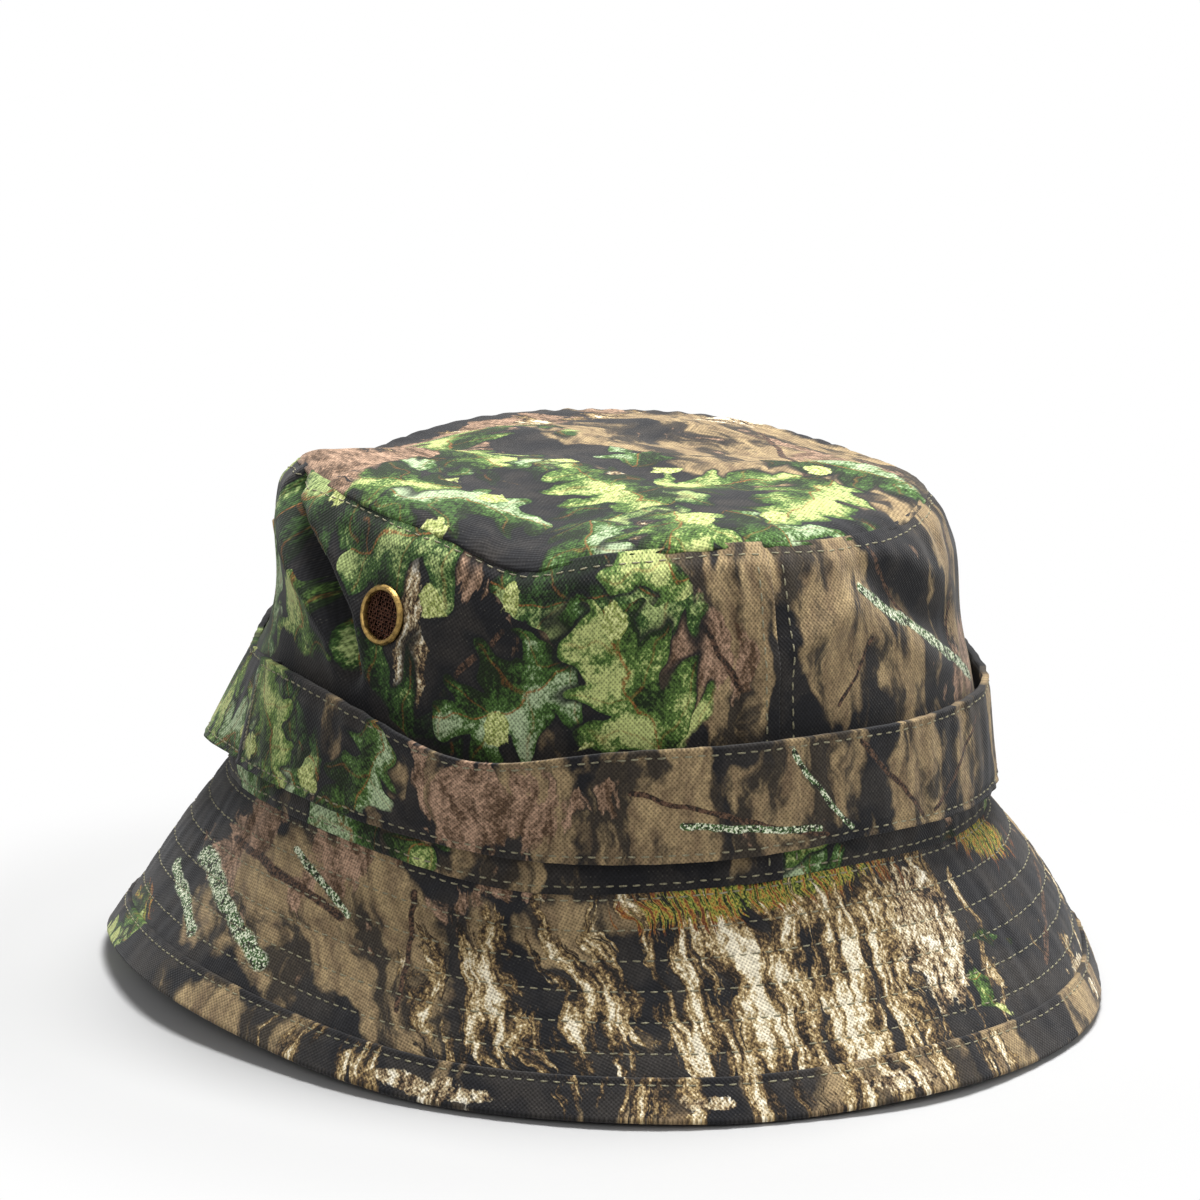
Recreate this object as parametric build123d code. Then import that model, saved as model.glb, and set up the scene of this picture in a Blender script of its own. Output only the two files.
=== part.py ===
from build123d import *
from math import acos, atan2, cos, degrees, pi, radians, sin, sqrt
import os

# A soft cotton boonie hat standing on its brim. Millimetres, +Z up.
# The front is -Y and the wearer's right is -X. The origin is on the surface
# that the hat stands on, at the middle of the brim's outline.
# Angles round the hat start at the front seam and grow towards +X.
# A rise is measured up the crown's own axis, from the seam with the brim.

# Cloth
cloth = 0.8                 # one ply of canvas
interlining_ply = 0.6       # stiffener inside the brim
ply_gap = 0.05              # clearance between plies that lie on each other
thread = 0.4                # how far a row of stitches stands out of the cloth
thread_width = 0.6

# Head opening, inside the sweatband: half of each axis of the oval
head_half_width = 84.0
head_half_length = 100.5
sweatband_ply = 1.2         # cotton band, folded double
sweatband_height = 30.0
sweatband_row_rise = 3.0

# Crown
crown_height = 74.0         # brim seam to tip seam
crown_tilt = 1.5            # degrees that the crown leans towards the front
crown_set_back = 1.0        # the crown's middle sits this far behind the brim's
seam_height = 46.0          # middle of the brim seam above the ground
wall_profile = ((0.0, 0.0), (0.11, 1.8), (0.46, 4.2), (0.84, 8.6), (0.94, 11.4), (1.0, 15.0))
tip_rise = 6.0              # dome of the oval top panel
tip_profile = ((0.0, 0.0), (0.14, 0.5), (0.42, 0.85), (0.78, 1.0))
lap_width = 9.0             # overlap of the side panels at the front and back seams
lap_bridge = 2.5            # cloth that joins the lap to its own panel
lap_row_inset = 3.6         # stitch row on the lap, from the lap's edge
lap_row_outset = 4.2        # second row, past the lap's edge
tip_row_drop = 2.2          # stitch row below the tip seam
foot_row_rise = 1.8         # stitch row above the brim seam
tape_height = 9.0           # bias tape inside, over the raw edge of the tip seam
tape_ply = 0.5

# Foliage band
band_foot = 7.6             # plain wall under the band
band_height = 25.4
band_ply = 1.6              # strip folded double
band_lap_seat = 17.0        # the front strip ends this far behind the middle, over the rear one
band_lap = 8.0
band_slack = 2.2            # how far each strip stands off between its tacks
band_points = 48
band_row_inset = 1.7        # stitch rows inside the band's two edges
tack_width = 2.2
tack_clearance = 1.0        # between a tack and the stitch rows above and below it
tack_inset = 2.6            # tack, in from the end of the front strip

# Brim
brim_half_width = 115.0     # outline on the ground, inside the binding
brim_half_length = 135.0
brim_length = 57.0          # cut width of the brim, from seam to edge
brim_lean = 60.0            # usual slope of the brim, for its plies' level thickness
brim_rows = 6               # rows of quilting
brim_first_row = 1.4
brim_row_pitch = 7.6
binding_width = 12.0
binding_row_inset = 1.6

# Screened vents, two on each side
vent_angles = (-124.0, -72.0, 72.0, 124.0)
vent_rise = 53.5
vent_bore = 5.7             # radius of the clear hole
eyelet_wall = 0.5
eyelet_rim = 7.0            # radius of the flange
eyelet_rim_height = 1.0
eyelet_lip = 0.5            # rolled end behind the washer
hole_clearance = 0.2
washer_rim = 7.8
washer_ply = 0.5
screen_ply = 0.3
screen_pitch = 1.1
screen_hole = 0.7
screen_edge = 0.5           # solid margin round the mesh

# Blank care label, sewn flat on the back of the sweatband
label_width = 34.0
label_height = 18.0
label_ply = 0.4
label_rise = 7.0
label_row_inset = 1.5

# Worked out from the values above
foot_half_width = head_half_width + sweatband_ply + ply_gap + cloth
foot_half_length = head_half_length + sweatband_ply + ply_gap + cloth
crown_place = Location((0, crown_set_back, seam_height)) * Rotation(crown_tilt, 0, 0)
brim_ply = cloth / sin(radians(brim_lean))
lining_ply = interlining_ply / sin(radians(brim_lean))
brim_stack = 2 * brim_ply + lining_ply + 2 * ply_gap
lap_face = ply_gap + cloth              # outer face of the lap, out from the wall's
sweatband_face = -cloth - ply_gap - sweatband_ply
label_face = sweatband_face - ply_gap - label_ply
band_top = band_foot + band_height
barrel_rim = vent_bore + eyelet_wall
reach = 4 * brim_half_length            # larger than the hat, for cutting blocks
overrun = 0.04                          # share of the brim that a cut runs past its ends


def between(points, value):
    """Reads a profile, given as pairs, at a value between two of its points."""
    for (start, first), (end, last) in zip(points, points[1:]):
        if value <= end:
            return first + (last - first) * (value - start) / (end - start)
    return points[-1][1]


def ply(make_block, inner, outer, *limits):
    """The cloth between two faces, each given by how far it is moved out."""
    return make_block(outer, *limits) - make_block(inner, *limits)


def half_block(x_low, x_high, front):
    """A block between two X values, on the front or the back half."""
    middle = -reach / 4 if front else reach / 4
    return Pos((x_low + x_high) / 2, middle, 0) * Box(x_high - x_low, reach / 2, reach)


# Crown wall

def wall_axes(rise, grow=0.0):
    """Half axes of the wall's outer face at a rise, moved out by grow."""
    inset = between(wall_profile, rise / crown_height) - grow
    return foot_half_width - inset, foot_half_length - inset


def wall_rises(low, high):
    stops = [share * crown_height for share, inset in wall_profile]
    return [low] + [stop for stop in stops if low < stop < high] + [high]


def wall_block(grow, low=0.0, high=crown_height):
    ovals = [Plane.XY.offset(rise) * Ellipse(*wall_axes(rise, grow)) for rise in wall_rises(low, high)]
    return loft(ovals, ruled=True)


def wall_place(angle, rise):
    """A plane on the wall's outer face, with its Z pointing straight out."""
    turn = radians(angle)
    half_width, half_length = wall_axes(rise)
    size = sqrt((half_length * sin(turn)) ** 2 + (half_width * cos(turn)) ** 2)
    out_x, out_y = half_length * sin(turn) / size, -half_width * cos(turn) / size
    step = 0.01
    taper = (wall_axes(rise - step)[0] - wall_axes(rise + step)[0]) / (2 * step)
    lean = taper * (sin(turn) * out_x - cos(turn) * out_y)
    point = (half_width * sin(turn), -half_length * cos(turn), rise)
    return Plane(origin=point, x_dir=(-out_y, out_x, 0), z_dir=(out_x, out_y, lean))


def wall_radius(angle, rise):
    """Radius that the wall curves at, round the hat."""
    turn = radians(angle)
    half_width, half_length = wall_axes(rise)
    run = (half_width * cos(turn)) ** 2 + (half_length * sin(turn)) ** 2
    return run ** 1.5 / (half_width * half_length)


def vent_holes():
    return [wall_place(angle, vent_rise) * Cylinder(barrel_rim + hole_clearance, 8 * cloth)
            for angle in vent_angles]


def side_panel(side, wall, bridge, lap):
    """Half of the wall. The right one lies on top at the front seam, the left one at the back."""
    panel = Part()
    for front in (True, False):
        way = -1 if front else 1
        edge = (way * lap_width + side * ply_gap) / 2
        panel += wall & half_block(*sorted((edge, side * reach)), front)
        if side == way:
            root = edge + side * lap_bridge
            panel += bridge & half_block(*sorted((edge, root)), front)
            panel += lap & half_block(*sorted((root, -way * lap_width / 2)), front)
    return panel - vent_holes()


def build_sides():
    wall = ply(wall_block, -cloth, 0)
    bridge = ply(wall_block, 0, ply_gap)
    lap = ply(wall_block, ply_gap, lap_face)
    return side_panel(-1, wall, bridge, lap), side_panel(1, wall, bridge, lap)


def lap_rows():
    """Upright rows on and beside the two lapped seams."""
    low = foot_row_rise + thread_width
    high = crown_height - tip_row_drop - thread_width
    on_lap = ply(wall_block, lap_face + ply_gap, lap_face + ply_gap + thread, low, high)
    beside = ply(wall_block, ply_gap, ply_gap + thread, low, high)
    rows = []
    for front, way in ((True, 1), (False, -1)):
        edge = way * lap_width / 2
        for skin, middle in ((on_lap, edge - way * lap_row_inset), (beside, edge + way * lap_row_outset)):
            rows += (skin & half_block(middle - thread_width / 2, middle + thread_width / 2, front)).solids()
    return rows


def level_row(rise):
    """A row round the wall, which steps up over both laps."""
    low, high = rise - thread_width / 2, rise + thread_width / 2
    on_wall = ply(wall_block, ply_gap, ply_gap + thread, low, high)
    on_lap = ply(wall_block, lap_face + ply_gap, lap_face + ply_gap + thread, low, high)
    pieces = []
    for front, way in ((True, -1), (False, 1)):
        taken = sorted((way * (lap_width / 2 + lap_bridge + ply_gap), -way * (lap_width / 2 + ply_gap)))
        on_wall -= half_block(*taken, front)
        pieces += (on_lap & half_block(taken[0] + 2 * ply_gap, taken[1] - 2 * ply_gap, front)).solids()
    return on_wall.solids() + pieces


def tip_block(grow):
    """Everything under the domed top, moved out by grow."""
    half_width, half_length = wall_axes(crown_height, grow)
    ovals = []
    for share, climb in tip_profile:
        inset = share * half_width
        level = crown_height + climb * (tip_rise + grow)
        ovals.append(Plane.XY.offset(level) * Ellipse(half_width - inset, half_length - inset))
    return loft(ovals, ruled=True)


def seam_tape():
    top = crown_height - ply_gap
    return ply(wall_block, -cloth - ply_gap - tape_ply, -cloth - ply_gap, crown_height - tape_height, top)


# Sweatband and label

def build_sweatband():
    return ply(wall_block, sweatband_face, -cloth - ply_gap, 0, sweatband_height)


def inner_patch(inner, outer, half_width, low, high):
    return ply(wall_block, inner, outer, low, high) & half_block(-half_width, half_width, False)


def care_label():
    face = sweatband_face - ply_gap
    return inner_patch(label_face, face, label_width / 2, label_rise, label_rise + label_height)


def label_frame():
    """One closed run of stitches inside the label's four edges."""
    face = label_face - ply_gap
    frame = []
    for inset in (label_row_inset, label_row_inset + thread_width):
        low, high = label_rise + inset, label_rise + label_height - inset
        depth = thread if not frame else 2 * thread
        frame.append(inner_patch(face - depth, face, label_width / 2 - inset, low, high))
    return frame[0] - frame[1]


# Foliage band

def front_standoff(angle):
    """Gap between the wall and the front strip, whose ends lie on the rear strip."""
    turn = (angle + 180) % 360 - 180
    seat = degrees(acos(-band_lap_seat / wall_axes(band_foot)[1]))
    bow = cos(pi * turn / (2 * seat)) ** 2 if abs(turn) < seat else 0
    return 2 * ply_gap + band_ply + band_slack * bow


def rear_standoff(angle):
    """Gap between the wall and the rear strip, which is tacked over the back lap."""
    seat = degrees(acos(-band_lap_seat / wall_axes(band_foot)[1]))
    share = max(0, (min(angle, 360 - angle) - seat) / (180 - seat))
    at_tack = lap_face + thread + 2 * ply_gap
    return ply_gap + at_tack * min(1, 2 * share) + band_slack * sin(pi * share) ** 2


def band_block(standoff, grow, low, high):
    ovals = []
    for rise in wall_rises(low, high):
        points = []
        for i in range(band_points):
            angle = 360 * i / band_points
            half_width, half_length = wall_axes(rise, grow + standoff(angle))
            points.append((half_width * sin(radians(angle)), -half_length * cos(radians(angle))))
        ovals.append(Plane.XY.offset(rise) * make_face(Spline(points, periodic=True)))
    return loft(ovals, ruled=True)


def strip(standoff, inner, outer, low, high, y_low, y_high):
    """A stretch of the band between two Y values."""
    skin = band_block(standoff, outer, low, high) - band_block(standoff, inner, low, high)
    return skin & Pos(0, (y_low + y_high) / 2, 0) * Box(reach, y_high - y_low, reach)


def build_band():
    front = strip(front_standoff, 0, band_ply, band_foot, band_top, -reach, band_lap_seat)
    rear = strip(rear_standoff, 0, band_ply, band_foot, band_top, band_lap_seat - band_lap, reach)
    return front, rear


def band_rows():
    face = band_ply + ply_gap
    rows = []
    for rise in (band_foot + band_row_inset, band_top - band_row_inset):
        low, high = rise - thread_width / 2, rise + thread_width / 2
        rows.append(strip(front_standoff, face, face + thread, low, high, -reach, band_lap_seat - ply_gap))
        rows.append(strip(rear_standoff, face, face + thread, low, high, band_lap_seat + thread, reach))
    return rows


def band_tacks():
    """Bar tacks at both ends of the front strip and over the back seam."""
    face = band_ply + ply_gap
    margin = band_row_inset + thread_width / 2 + tack_clearance
    low, high = band_foot + margin, band_top - margin
    y_low = band_lap_seat - tack_inset - tack_width / 2
    ends = strip(front_standoff, face, face + thread, low, high, y_low, y_low + tack_width)
    back = strip(rear_standoff, face, face + thread, low, high, 0, reach)
    return ends.solids() + (back & half_block(-tack_width / 2, tack_width / 2, False)).solids()


# Brim

def brim_oval(share, grow):
    """The brim's outer face at a share of the way from its seam to its edge, moved out by grow."""
    rest, tilt = 1 - share, radians(crown_tilt)
    half_width = rest * foot_half_width + share * brim_half_width + grow
    run = rest * (foot_half_length + grow) * cos(tilt) + share * (brim_half_length + grow)
    climb = rest * (foot_half_length + grow) * sin(tilt)
    lean = degrees(atan2(climb, run))
    place = Location((0, rest * crown_set_back, rest * seam_height)) * Rotation(lean, 0, 0)
    return place * Ellipse(half_width, sqrt(run ** 2 + climb ** 2))


def brim_block(grow, top, foot):
    return loft([brim_oval(top, grow), brim_oval(foot, grow)], ruled=True)


def brim_skin(inner, outer, top=0.0, foot=1.0):
    """The cloth between two faces of the brim. What is taken out runs past both ends."""
    return brim_block(outer, top, foot) - brim_block(inner, top - overrun, foot + overrun)


def brim_plies():
    """Upper cloth, stiffener and lower cloth, inside the binding's fold."""
    foot = 1 - (brim_ply + ply_gap) / brim_length
    upper = brim_skin(-brim_ply, 0, 0, foot)
    lining_face = -brim_ply - ply_gap
    lining = brim_skin(lining_face - lining_ply, lining_face, 0, foot)
    lower = brim_skin(-brim_stack, -brim_stack + brim_ply, 0, foot)
    return upper, lining, lower


def brim_rows_at(distances, upper_face, lower_face):
    """Rings of thread on the brim's two faces, at distances down from its seam."""
    rows = []
    for distance in distances:
        edges = ((distance - thread_width / 2) / brim_length, (distance + thread_width / 2) / brim_length)
        rows.append(brim_skin(upper_face, upper_face + thread, *edges))
        rows.append(brim_skin(lower_face - thread, lower_face, *edges))
    return rows


def binding():
    """The strip that wraps the brim's edge, a channel open towards the crown."""
    top = 1 - binding_width / brim_length
    fold = 1 - brim_ply / brim_length
    outside = brim_skin(-brim_stack - ply_gap - brim_ply, ply_gap + brim_ply, top, 1)
    return outside - brim_skin(-brim_stack - ply_gap, ply_gap, top / 2, fold)


# Vents, each made about its own axis with the cloth's outer face at zero

def washer_back(angle):
    """How far behind the outer face a flat washer clears the hollow inner face."""
    return cloth + ply_gap + washer_rim ** 2 / (2 * wall_radius(angle, vent_rise))


def eyelet(back):
    """Flange, barrel and rolled end, as one turned brass piece."""
    face = ply_gap + eyelet_rim_height
    roll = -back - washer_ply - ply_gap
    shoulder = (vent_bore + eyelet_rim) / 2
    half = Polyline((eyelet_rim, ply_gap + eyelet_rim_height / 2), (eyelet_rim, ply_gap),
                    (barrel_rim, ply_gap), (barrel_rim, roll), (barrel_rim + eyelet_lip, roll),
                    (barrel_rim + eyelet_lip, roll - eyelet_lip), (vent_bore, roll - eyelet_lip),
                    (vent_bore, ply_gap + eyelet_rim_height / 2))
    crest = ThreePointArc(half @ 1, (shoulder, face), half @ 0)
    return revolve(Plane.XZ * make_face([half, crest]), Axis.Z)


def washer(back):
    return Pos(0, 0, -back - washer_ply / 2) * (
        Cylinder(washer_rim, washer_ply) - Cylinder(barrel_rim + ply_gap, washer_ply))


def screen():
    disc = Cylinder(vent_bore - ply_gap, screen_ply)
    count = int(vent_bore / screen_pitch)
    clear = vent_bore - ply_gap - screen_edge - screen_hole / sqrt(2)
    steps = [i * screen_pitch for i in range(-count, count + 1)]
    holes = [Pos(x, y) * Box(screen_hole, screen_hole, 2 * screen_ply)
             for x in steps for y in steps if sqrt(x ** 2 + y ** 2) < clear]
    return Pos(0, 0, -cloth / 2) * (disc - holes)


def build_vents():
    places = [(wall_place(angle, vent_rise), washer_back(angle)) for angle in vent_angles]
    mesh = screen()
    return ([place * eyelet(back) for place, back in places],
            [place * washer(back) for place, back in places],
            [place * mesh for place, back in places])


def save(name, shapes, place=Location()):
    shapes = shapes if isinstance(shapes, list) else [shapes]
    solids = [place * solid for shape in shapes for solid in shape.solids()]
    export_step(Compound(solids, label=name), f"parts/{name}.step")


os.makedirs("parts", exist_ok=True)

side_right, side_left = build_sides()
save("crown_side_right", side_right, crown_place)
save("crown_side_left", side_left, crown_place)
save("crown_tip", ply(tip_block, -cloth, 0), crown_place)
save("tip_seam_tape", seam_tape(), crown_place)
save("tip_topstitching", level_row(crown_height - tip_row_drop), crown_place)
save("lap_seam_stitching", lap_rows(), crown_place)
save("crown_base_stitching", level_row(foot_row_rise), crown_place)

save("sweatband", build_sweatband(), crown_place)
sweatband_row = ply(wall_block, sweatband_face - ply_gap - thread, sweatband_face - ply_gap,
                    sweatband_row_rise - thread_width / 2, sweatband_row_rise + thread_width / 2)
save("sweatband_stitching", sweatband_row, crown_place)
save("care_label", care_label(), crown_place)
save("care_label_stitching", label_frame(), crown_place)

band_front, band_rear = build_band()
save("foliage_band_front", band_front, crown_place)
save("foliage_band_rear", band_rear, crown_place)
save("foliage_band_stitching", band_rows(), crown_place)
save("foliage_band_tacks", band_tacks(), crown_place)

brim_upper, brim_interlining, brim_lower = brim_plies()
save("brim_upper", brim_upper)
save("brim_interlining", brim_interlining)
save("brim_lower", brim_lower)
row_distances = [brim_first_row + i * brim_row_pitch for i in range(brim_rows)]
save("brim_quilting", brim_rows_at(row_distances, ply_gap, -brim_stack - ply_gap))
save("brim_binding", binding())
binding_row = [brim_length - binding_width + binding_row_inset]
binding_face = brim_ply + 2 * ply_gap
save("brim_binding_stitching", brim_rows_at(binding_row, binding_face, -brim_stack - binding_face))

eyelets, washers, screens = build_vents()
save("vent_eyelets", eyelets, crown_place)
save("vent_washers", washers, crown_place)
save("vent_screens", screens, crown_place)
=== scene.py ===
from functools import partial
from math import cos, degrees, pi, radians, sin

import bmesh
import bpy
import numpy as np
from mathutils import Matrix, Vector


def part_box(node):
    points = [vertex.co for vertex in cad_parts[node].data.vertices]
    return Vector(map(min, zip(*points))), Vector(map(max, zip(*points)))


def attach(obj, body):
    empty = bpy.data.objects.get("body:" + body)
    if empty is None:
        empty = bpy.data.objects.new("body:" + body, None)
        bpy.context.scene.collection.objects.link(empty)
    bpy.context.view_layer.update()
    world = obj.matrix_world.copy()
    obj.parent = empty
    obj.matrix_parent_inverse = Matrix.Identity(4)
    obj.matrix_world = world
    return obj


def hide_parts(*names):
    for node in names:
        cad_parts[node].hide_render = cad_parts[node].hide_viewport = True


# A soft cotton boonie hat. Lengths are in millimetres until a mesh is made.
# Angles round the hat are in degrees, from the front (-Y) towards +X.
# A rise is up the crown's own axis from the brim seam, and a share is from the brim seam to the brim's edge.

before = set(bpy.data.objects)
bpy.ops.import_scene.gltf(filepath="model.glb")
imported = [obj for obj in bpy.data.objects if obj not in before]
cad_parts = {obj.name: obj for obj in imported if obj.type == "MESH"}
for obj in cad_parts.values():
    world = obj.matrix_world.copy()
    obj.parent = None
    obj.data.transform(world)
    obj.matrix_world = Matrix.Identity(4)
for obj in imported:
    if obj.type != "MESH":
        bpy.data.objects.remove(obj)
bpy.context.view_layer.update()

print("measuring the frame")
mm = 0.001
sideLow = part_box("crown_side_right")[0]
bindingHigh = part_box("brim_binding")[1]
labelLow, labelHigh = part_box("care_label")

cloth = {"ply": 0.8, "gap": 0.06, "bandPly": 1.5, "tapePly": 0.5, "sweatbandPly": 1.2, "labelPly": 0.4,
         "threadGap": 0.55}
crown = {
    "halfWidth": -sideLow.x / mm,          # outside, at the brim seam
    "ovalExtra": 16.5,                     # the oval is this much longer than wide, each way
    "height": 74.0,
    "seamHeight": 46.0,
    "tilt": 1.5,
    "setBack": 1.0,
    "insets": ((0, 0), (8, 1.8), (34, 4.2), (62, 8.6), (69.5, 11.2), (74, 15.0)),
    "tipRise": 6.0,
    "tipClimb": ((0, 0), (0.14, 0.5), (0.42, 0.85), (0.78, 1.0), (1, 1.0)),
    "seamTurn": -7.0,                      # edge of the lap at the front
    "backTurn": 180.0,
    "lapWidth": 9.0,
    "lapStep": 2.5,
    "perDegree": 1.66,                     # millimetres round the wall in one degree
}
band = {"foot": 7.6, "height": 25.4, "endTurn": 102.0, "overlap": 7.0, "perDegree": 1.7, "row": 1.7}
brim = {
    "halfWidth": bindingHigh.x / mm - 1.0,
    "halfLength": bindingHigh.y / mm - 1.0,
    "length": 57.0,
    "stack": 2.4,
    "rows": [1.4 + 7.6 * i for i in range(6)],
    "hem": 12.0,
    "hemRow": 1.6,
    "unrolledRadius": 173.6,
    "unrolledShare": 0.545,                # the ring is cut from a little over half a circle
    "edgePerDegree": 2.18,                 # millimetres round the brim's edge in one degree
    "levelPerPly": 1.155,                  # a millimetre through the sloping cloth, measured level
    "plyPerLevel": 0.866,
}
vents = {"turns": (-124.0, -70.8, 72.0, 124.0), "rise": 53.2, "bore": 5.6, "rim": 7.0, "clear": 6.3,
         "perDegree": 1.55}

# How the empty hat has slumped: (angle, spread, millimetres up) round each level
lifts = {
    "edge": ((-100, 20, 6.5), (-74, 12, 1.5), (4, 15, 1.6), (-40, 10, -0.6), (100, 20, 1.6), (170, 22, 2.0)),
    "seam": ((-85, 15, 2.3), (-45, 10, -1.7), (5, 18, 3.2), (95, 20, 1.0)),
    "bandFoot": ((-83, 14, 2.4), (-45, 11, -0.7), (5, 18, 3.0), (95, 20, 1.0)),
    "bandTop": ((-88, 12, 3.5), (-52, 10, -4.5), (0, 17, 2.0), (100, 20, 1.5), (-128, 12, -3.5)),
    "tip": ((-90, 16, 4.6), (-49, 7, -4.5), (-12, 13, 2.7), (15, 10, 0.8), (52, 14, 2.5), (120, 18, 1.5),
            (-146, 17, -6.5), (-170, 18, -2.5), (-116, 10, 4.2)),
}
flares = {   # (angle, spread, millimetres out)
    "edge": ((-120, 22, 2.2), (60, 20, 1.0)),
    "seam": ((-119, 18, 1.5), (58, 16, 4.2)),
    "middle": ((-122, 13, -7.5), (60, 15, -1.0)),
    "tip": ((58, 15, 1.5), (-114, 14, -1.2)),
    "bandFoot": ((-115, 9, 1.0), (62, 12, -1.8)),
    "bandTop": ((-52, 10, 4.0), (60, 12, -1.8), (-122, 18, -5.5)),
}
# Folds in the crown wall: route of (angle, rise), half width and depth, where a minus sign sinks
folds = (
    (((-105, 70), (-94, 63), (-85, 56), (-79, 48), (-76, 38)), 2.3, -8.0),
    (((-106, 62), (-96, 56), (-87, 47), (-83, 38)), 5.0, 2.8),
    (((-112, 66), (-111, 52), (-110, 38)), 4.5, 1.5),
    (((-62, 72), (-55, 62), (-50, 46)), 7.0, -1.4),
    (((-7, 48), (2, 55), (11, 62)), 3.4, 3.0),
    (((12, 65), (26, 57), (38, 48)), 4.2, -3.4),
    (((42, 66), (56, 58), (68, 44)), 7.0, 1.6),
    (((-36, 70), (-30, 56), (-32, 42)), 8.0, 1.2),
    (((88, 68), (96, 58), (99, 44)), 5.0, -2.4),
    (((128, 70), (140, 54), (148, 40)), 6.0, -2.0),
    (((-128, 66), (-140, 52), (-146, 40)), 6.0, -2.2),
    (((160, 66), (172, 58), (-176, 46)), 7.0, 1.8),
)


# Shapes


# A soft hill, 1 at its middle
def hill(value, middle, spread):
    return np.exp(-0.5 * ((value - middle) / spread) ** 2)


# Sum of soft hills round the hat, each with an angle, a spread and a height
def bumps(turn, spots):
    total = 0 * turn
    for middle, spread, amount in spots:
        total = total + amount * hill((turn - middle + 180) % 360 - 180, 0, spread)
    return total


def ease(value, low, high):
    share = np.clip((value - low) / (high - low), 0, 1)
    return share * share * (3 - 2 * share)


# Small waves of many lengths, about 1 mm high before scaling
def ripples(turn, level, seed, waves, lowest, highest, tallest):
    rng = np.random.default_rng(seed)
    total = 0 * (turn + level)
    for i in range(waves):
        across = rng.integers(lowest, highest + 1)
        along = rng.uniform(-1, 1) * 2 * pi / tallest
        total = total + np.sin(np.radians(turn) * across + level * along + rng.uniform(0, 2 * pi))
    return total / np.sqrt(waves)


# Height of the folds and creases at a place on the wall
def foldRelief(turn, rise):
    total = 0 * (turn + rise)
    for route, halfWidth, depth in folds:
        nearest, share = np.full(np.shape(total), 1e9), 0
        for i, ((startTurn, startRise), (endTurn, endRise)) in enumerate(zip(route, route[1:])):
            x = ((turn - startTurn + 180) % 360 - 180) * crown["perDegree"]
            y = rise - startRise
            spanX = ((endTurn - startTurn + 180) % 360 - 180) * crown["perDegree"]
            spanY = endRise - startRise
            along = np.clip((x * spanX + y * spanY) / (spanX ** 2 + spanY ** 2), 0, 1)
            gap = np.hypot(x - along * spanX, y - along * spanY)
            share = np.where(gap < nearest, (i + along) / (len(route) - 1), share)
            nearest = np.minimum(gap, nearest)
        taper = 0.35 + 0.65 * np.sin(pi * np.clip(share, 0.08, 0.92))
        total = total + depth * taper * hill(nearest, 0, halfWidth)
        if depth < 0:                                  # cloth pushed up beside a sharp fold
            total = total - 0.35 * depth * taper * hill(nearest, 2.2 * halfWidth, halfWidth)
    return total


# How far the wall leans in at a rise, with its corners rounded off
def softInset(rise):
    steps = (-1.5, -0.75, 0, 0.75, 1.5)
    known = np.array(crown["insets"], float)
    return sum(np.interp(rise + step, known[:, 0], known[:, 1]) for step in steps) / len(steps)


def placeOnCrown(x, y, rise):
    tilt = radians(crown["tilt"])
    return np.stack([x + 0 * rise, crown["setBack"] + y * cos(tilt) - rise * sin(tilt),
                     crown["seamHeight"] + y * sin(tilt) + rise * cos(tilt)], -1)


def wallBase(turn, rise, out):
    grow = out - softInset(rise)
    halfWidth = crown["halfWidth"] + grow
    halfLength = crown["halfWidth"] + crown["ovalExtra"] + grow
    return halfWidth * np.sin(np.radians(turn)), -halfLength * np.cos(np.radians(turn))


def wallRelief(turn, rise):
    free = 0.2 + 0.8 * ease(rise, 31, 42)              # held flat behind the band
    high = ease(rise, 0, crown["height"])
    relief = bumps(turn, flares["seam"]) * (1 - high) + bumps(turn, flares["tip"]) * high
    relief = relief + bumps(turn, flares["middle"]) * hill(rise, 44, 11)
    relief = relief + free * (foldRelief(turn, rise) + 0.55 * ripples(turn, rise, 3, 9, 3, 13, 60))
    fromTip = crown["height"] - rise
    pucker = ripples(turn, rise, 5, 6, 44, 90, 30)
    relief = relief + 0.22 * pucker * hill(fromTip, 4, 4)
    relief = relief + 0.2 * pucker * hill(rise, 3, 3)
    relief = relief - 1.3 * hill(fromTip, 0, 0.9) - 0.35 * hill(fromTip, 2.2, 0.6)
    return relief - 0.5 * hill(rise, 0, 0.9) - 0.3 * hill(rise, 1.8, 0.6)


def wallPoint(turn, rise, out=0.0):
    x, y = wallBase(turn, rise, out + wallRelief(turn, rise))
    high = rise / crown["height"]
    lift = bumps(turn, lifts["seam"]) * (1 - high) + bumps(turn, lifts["tip"]) * high
    return placeOnCrown(x, y, rise + lift)


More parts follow.
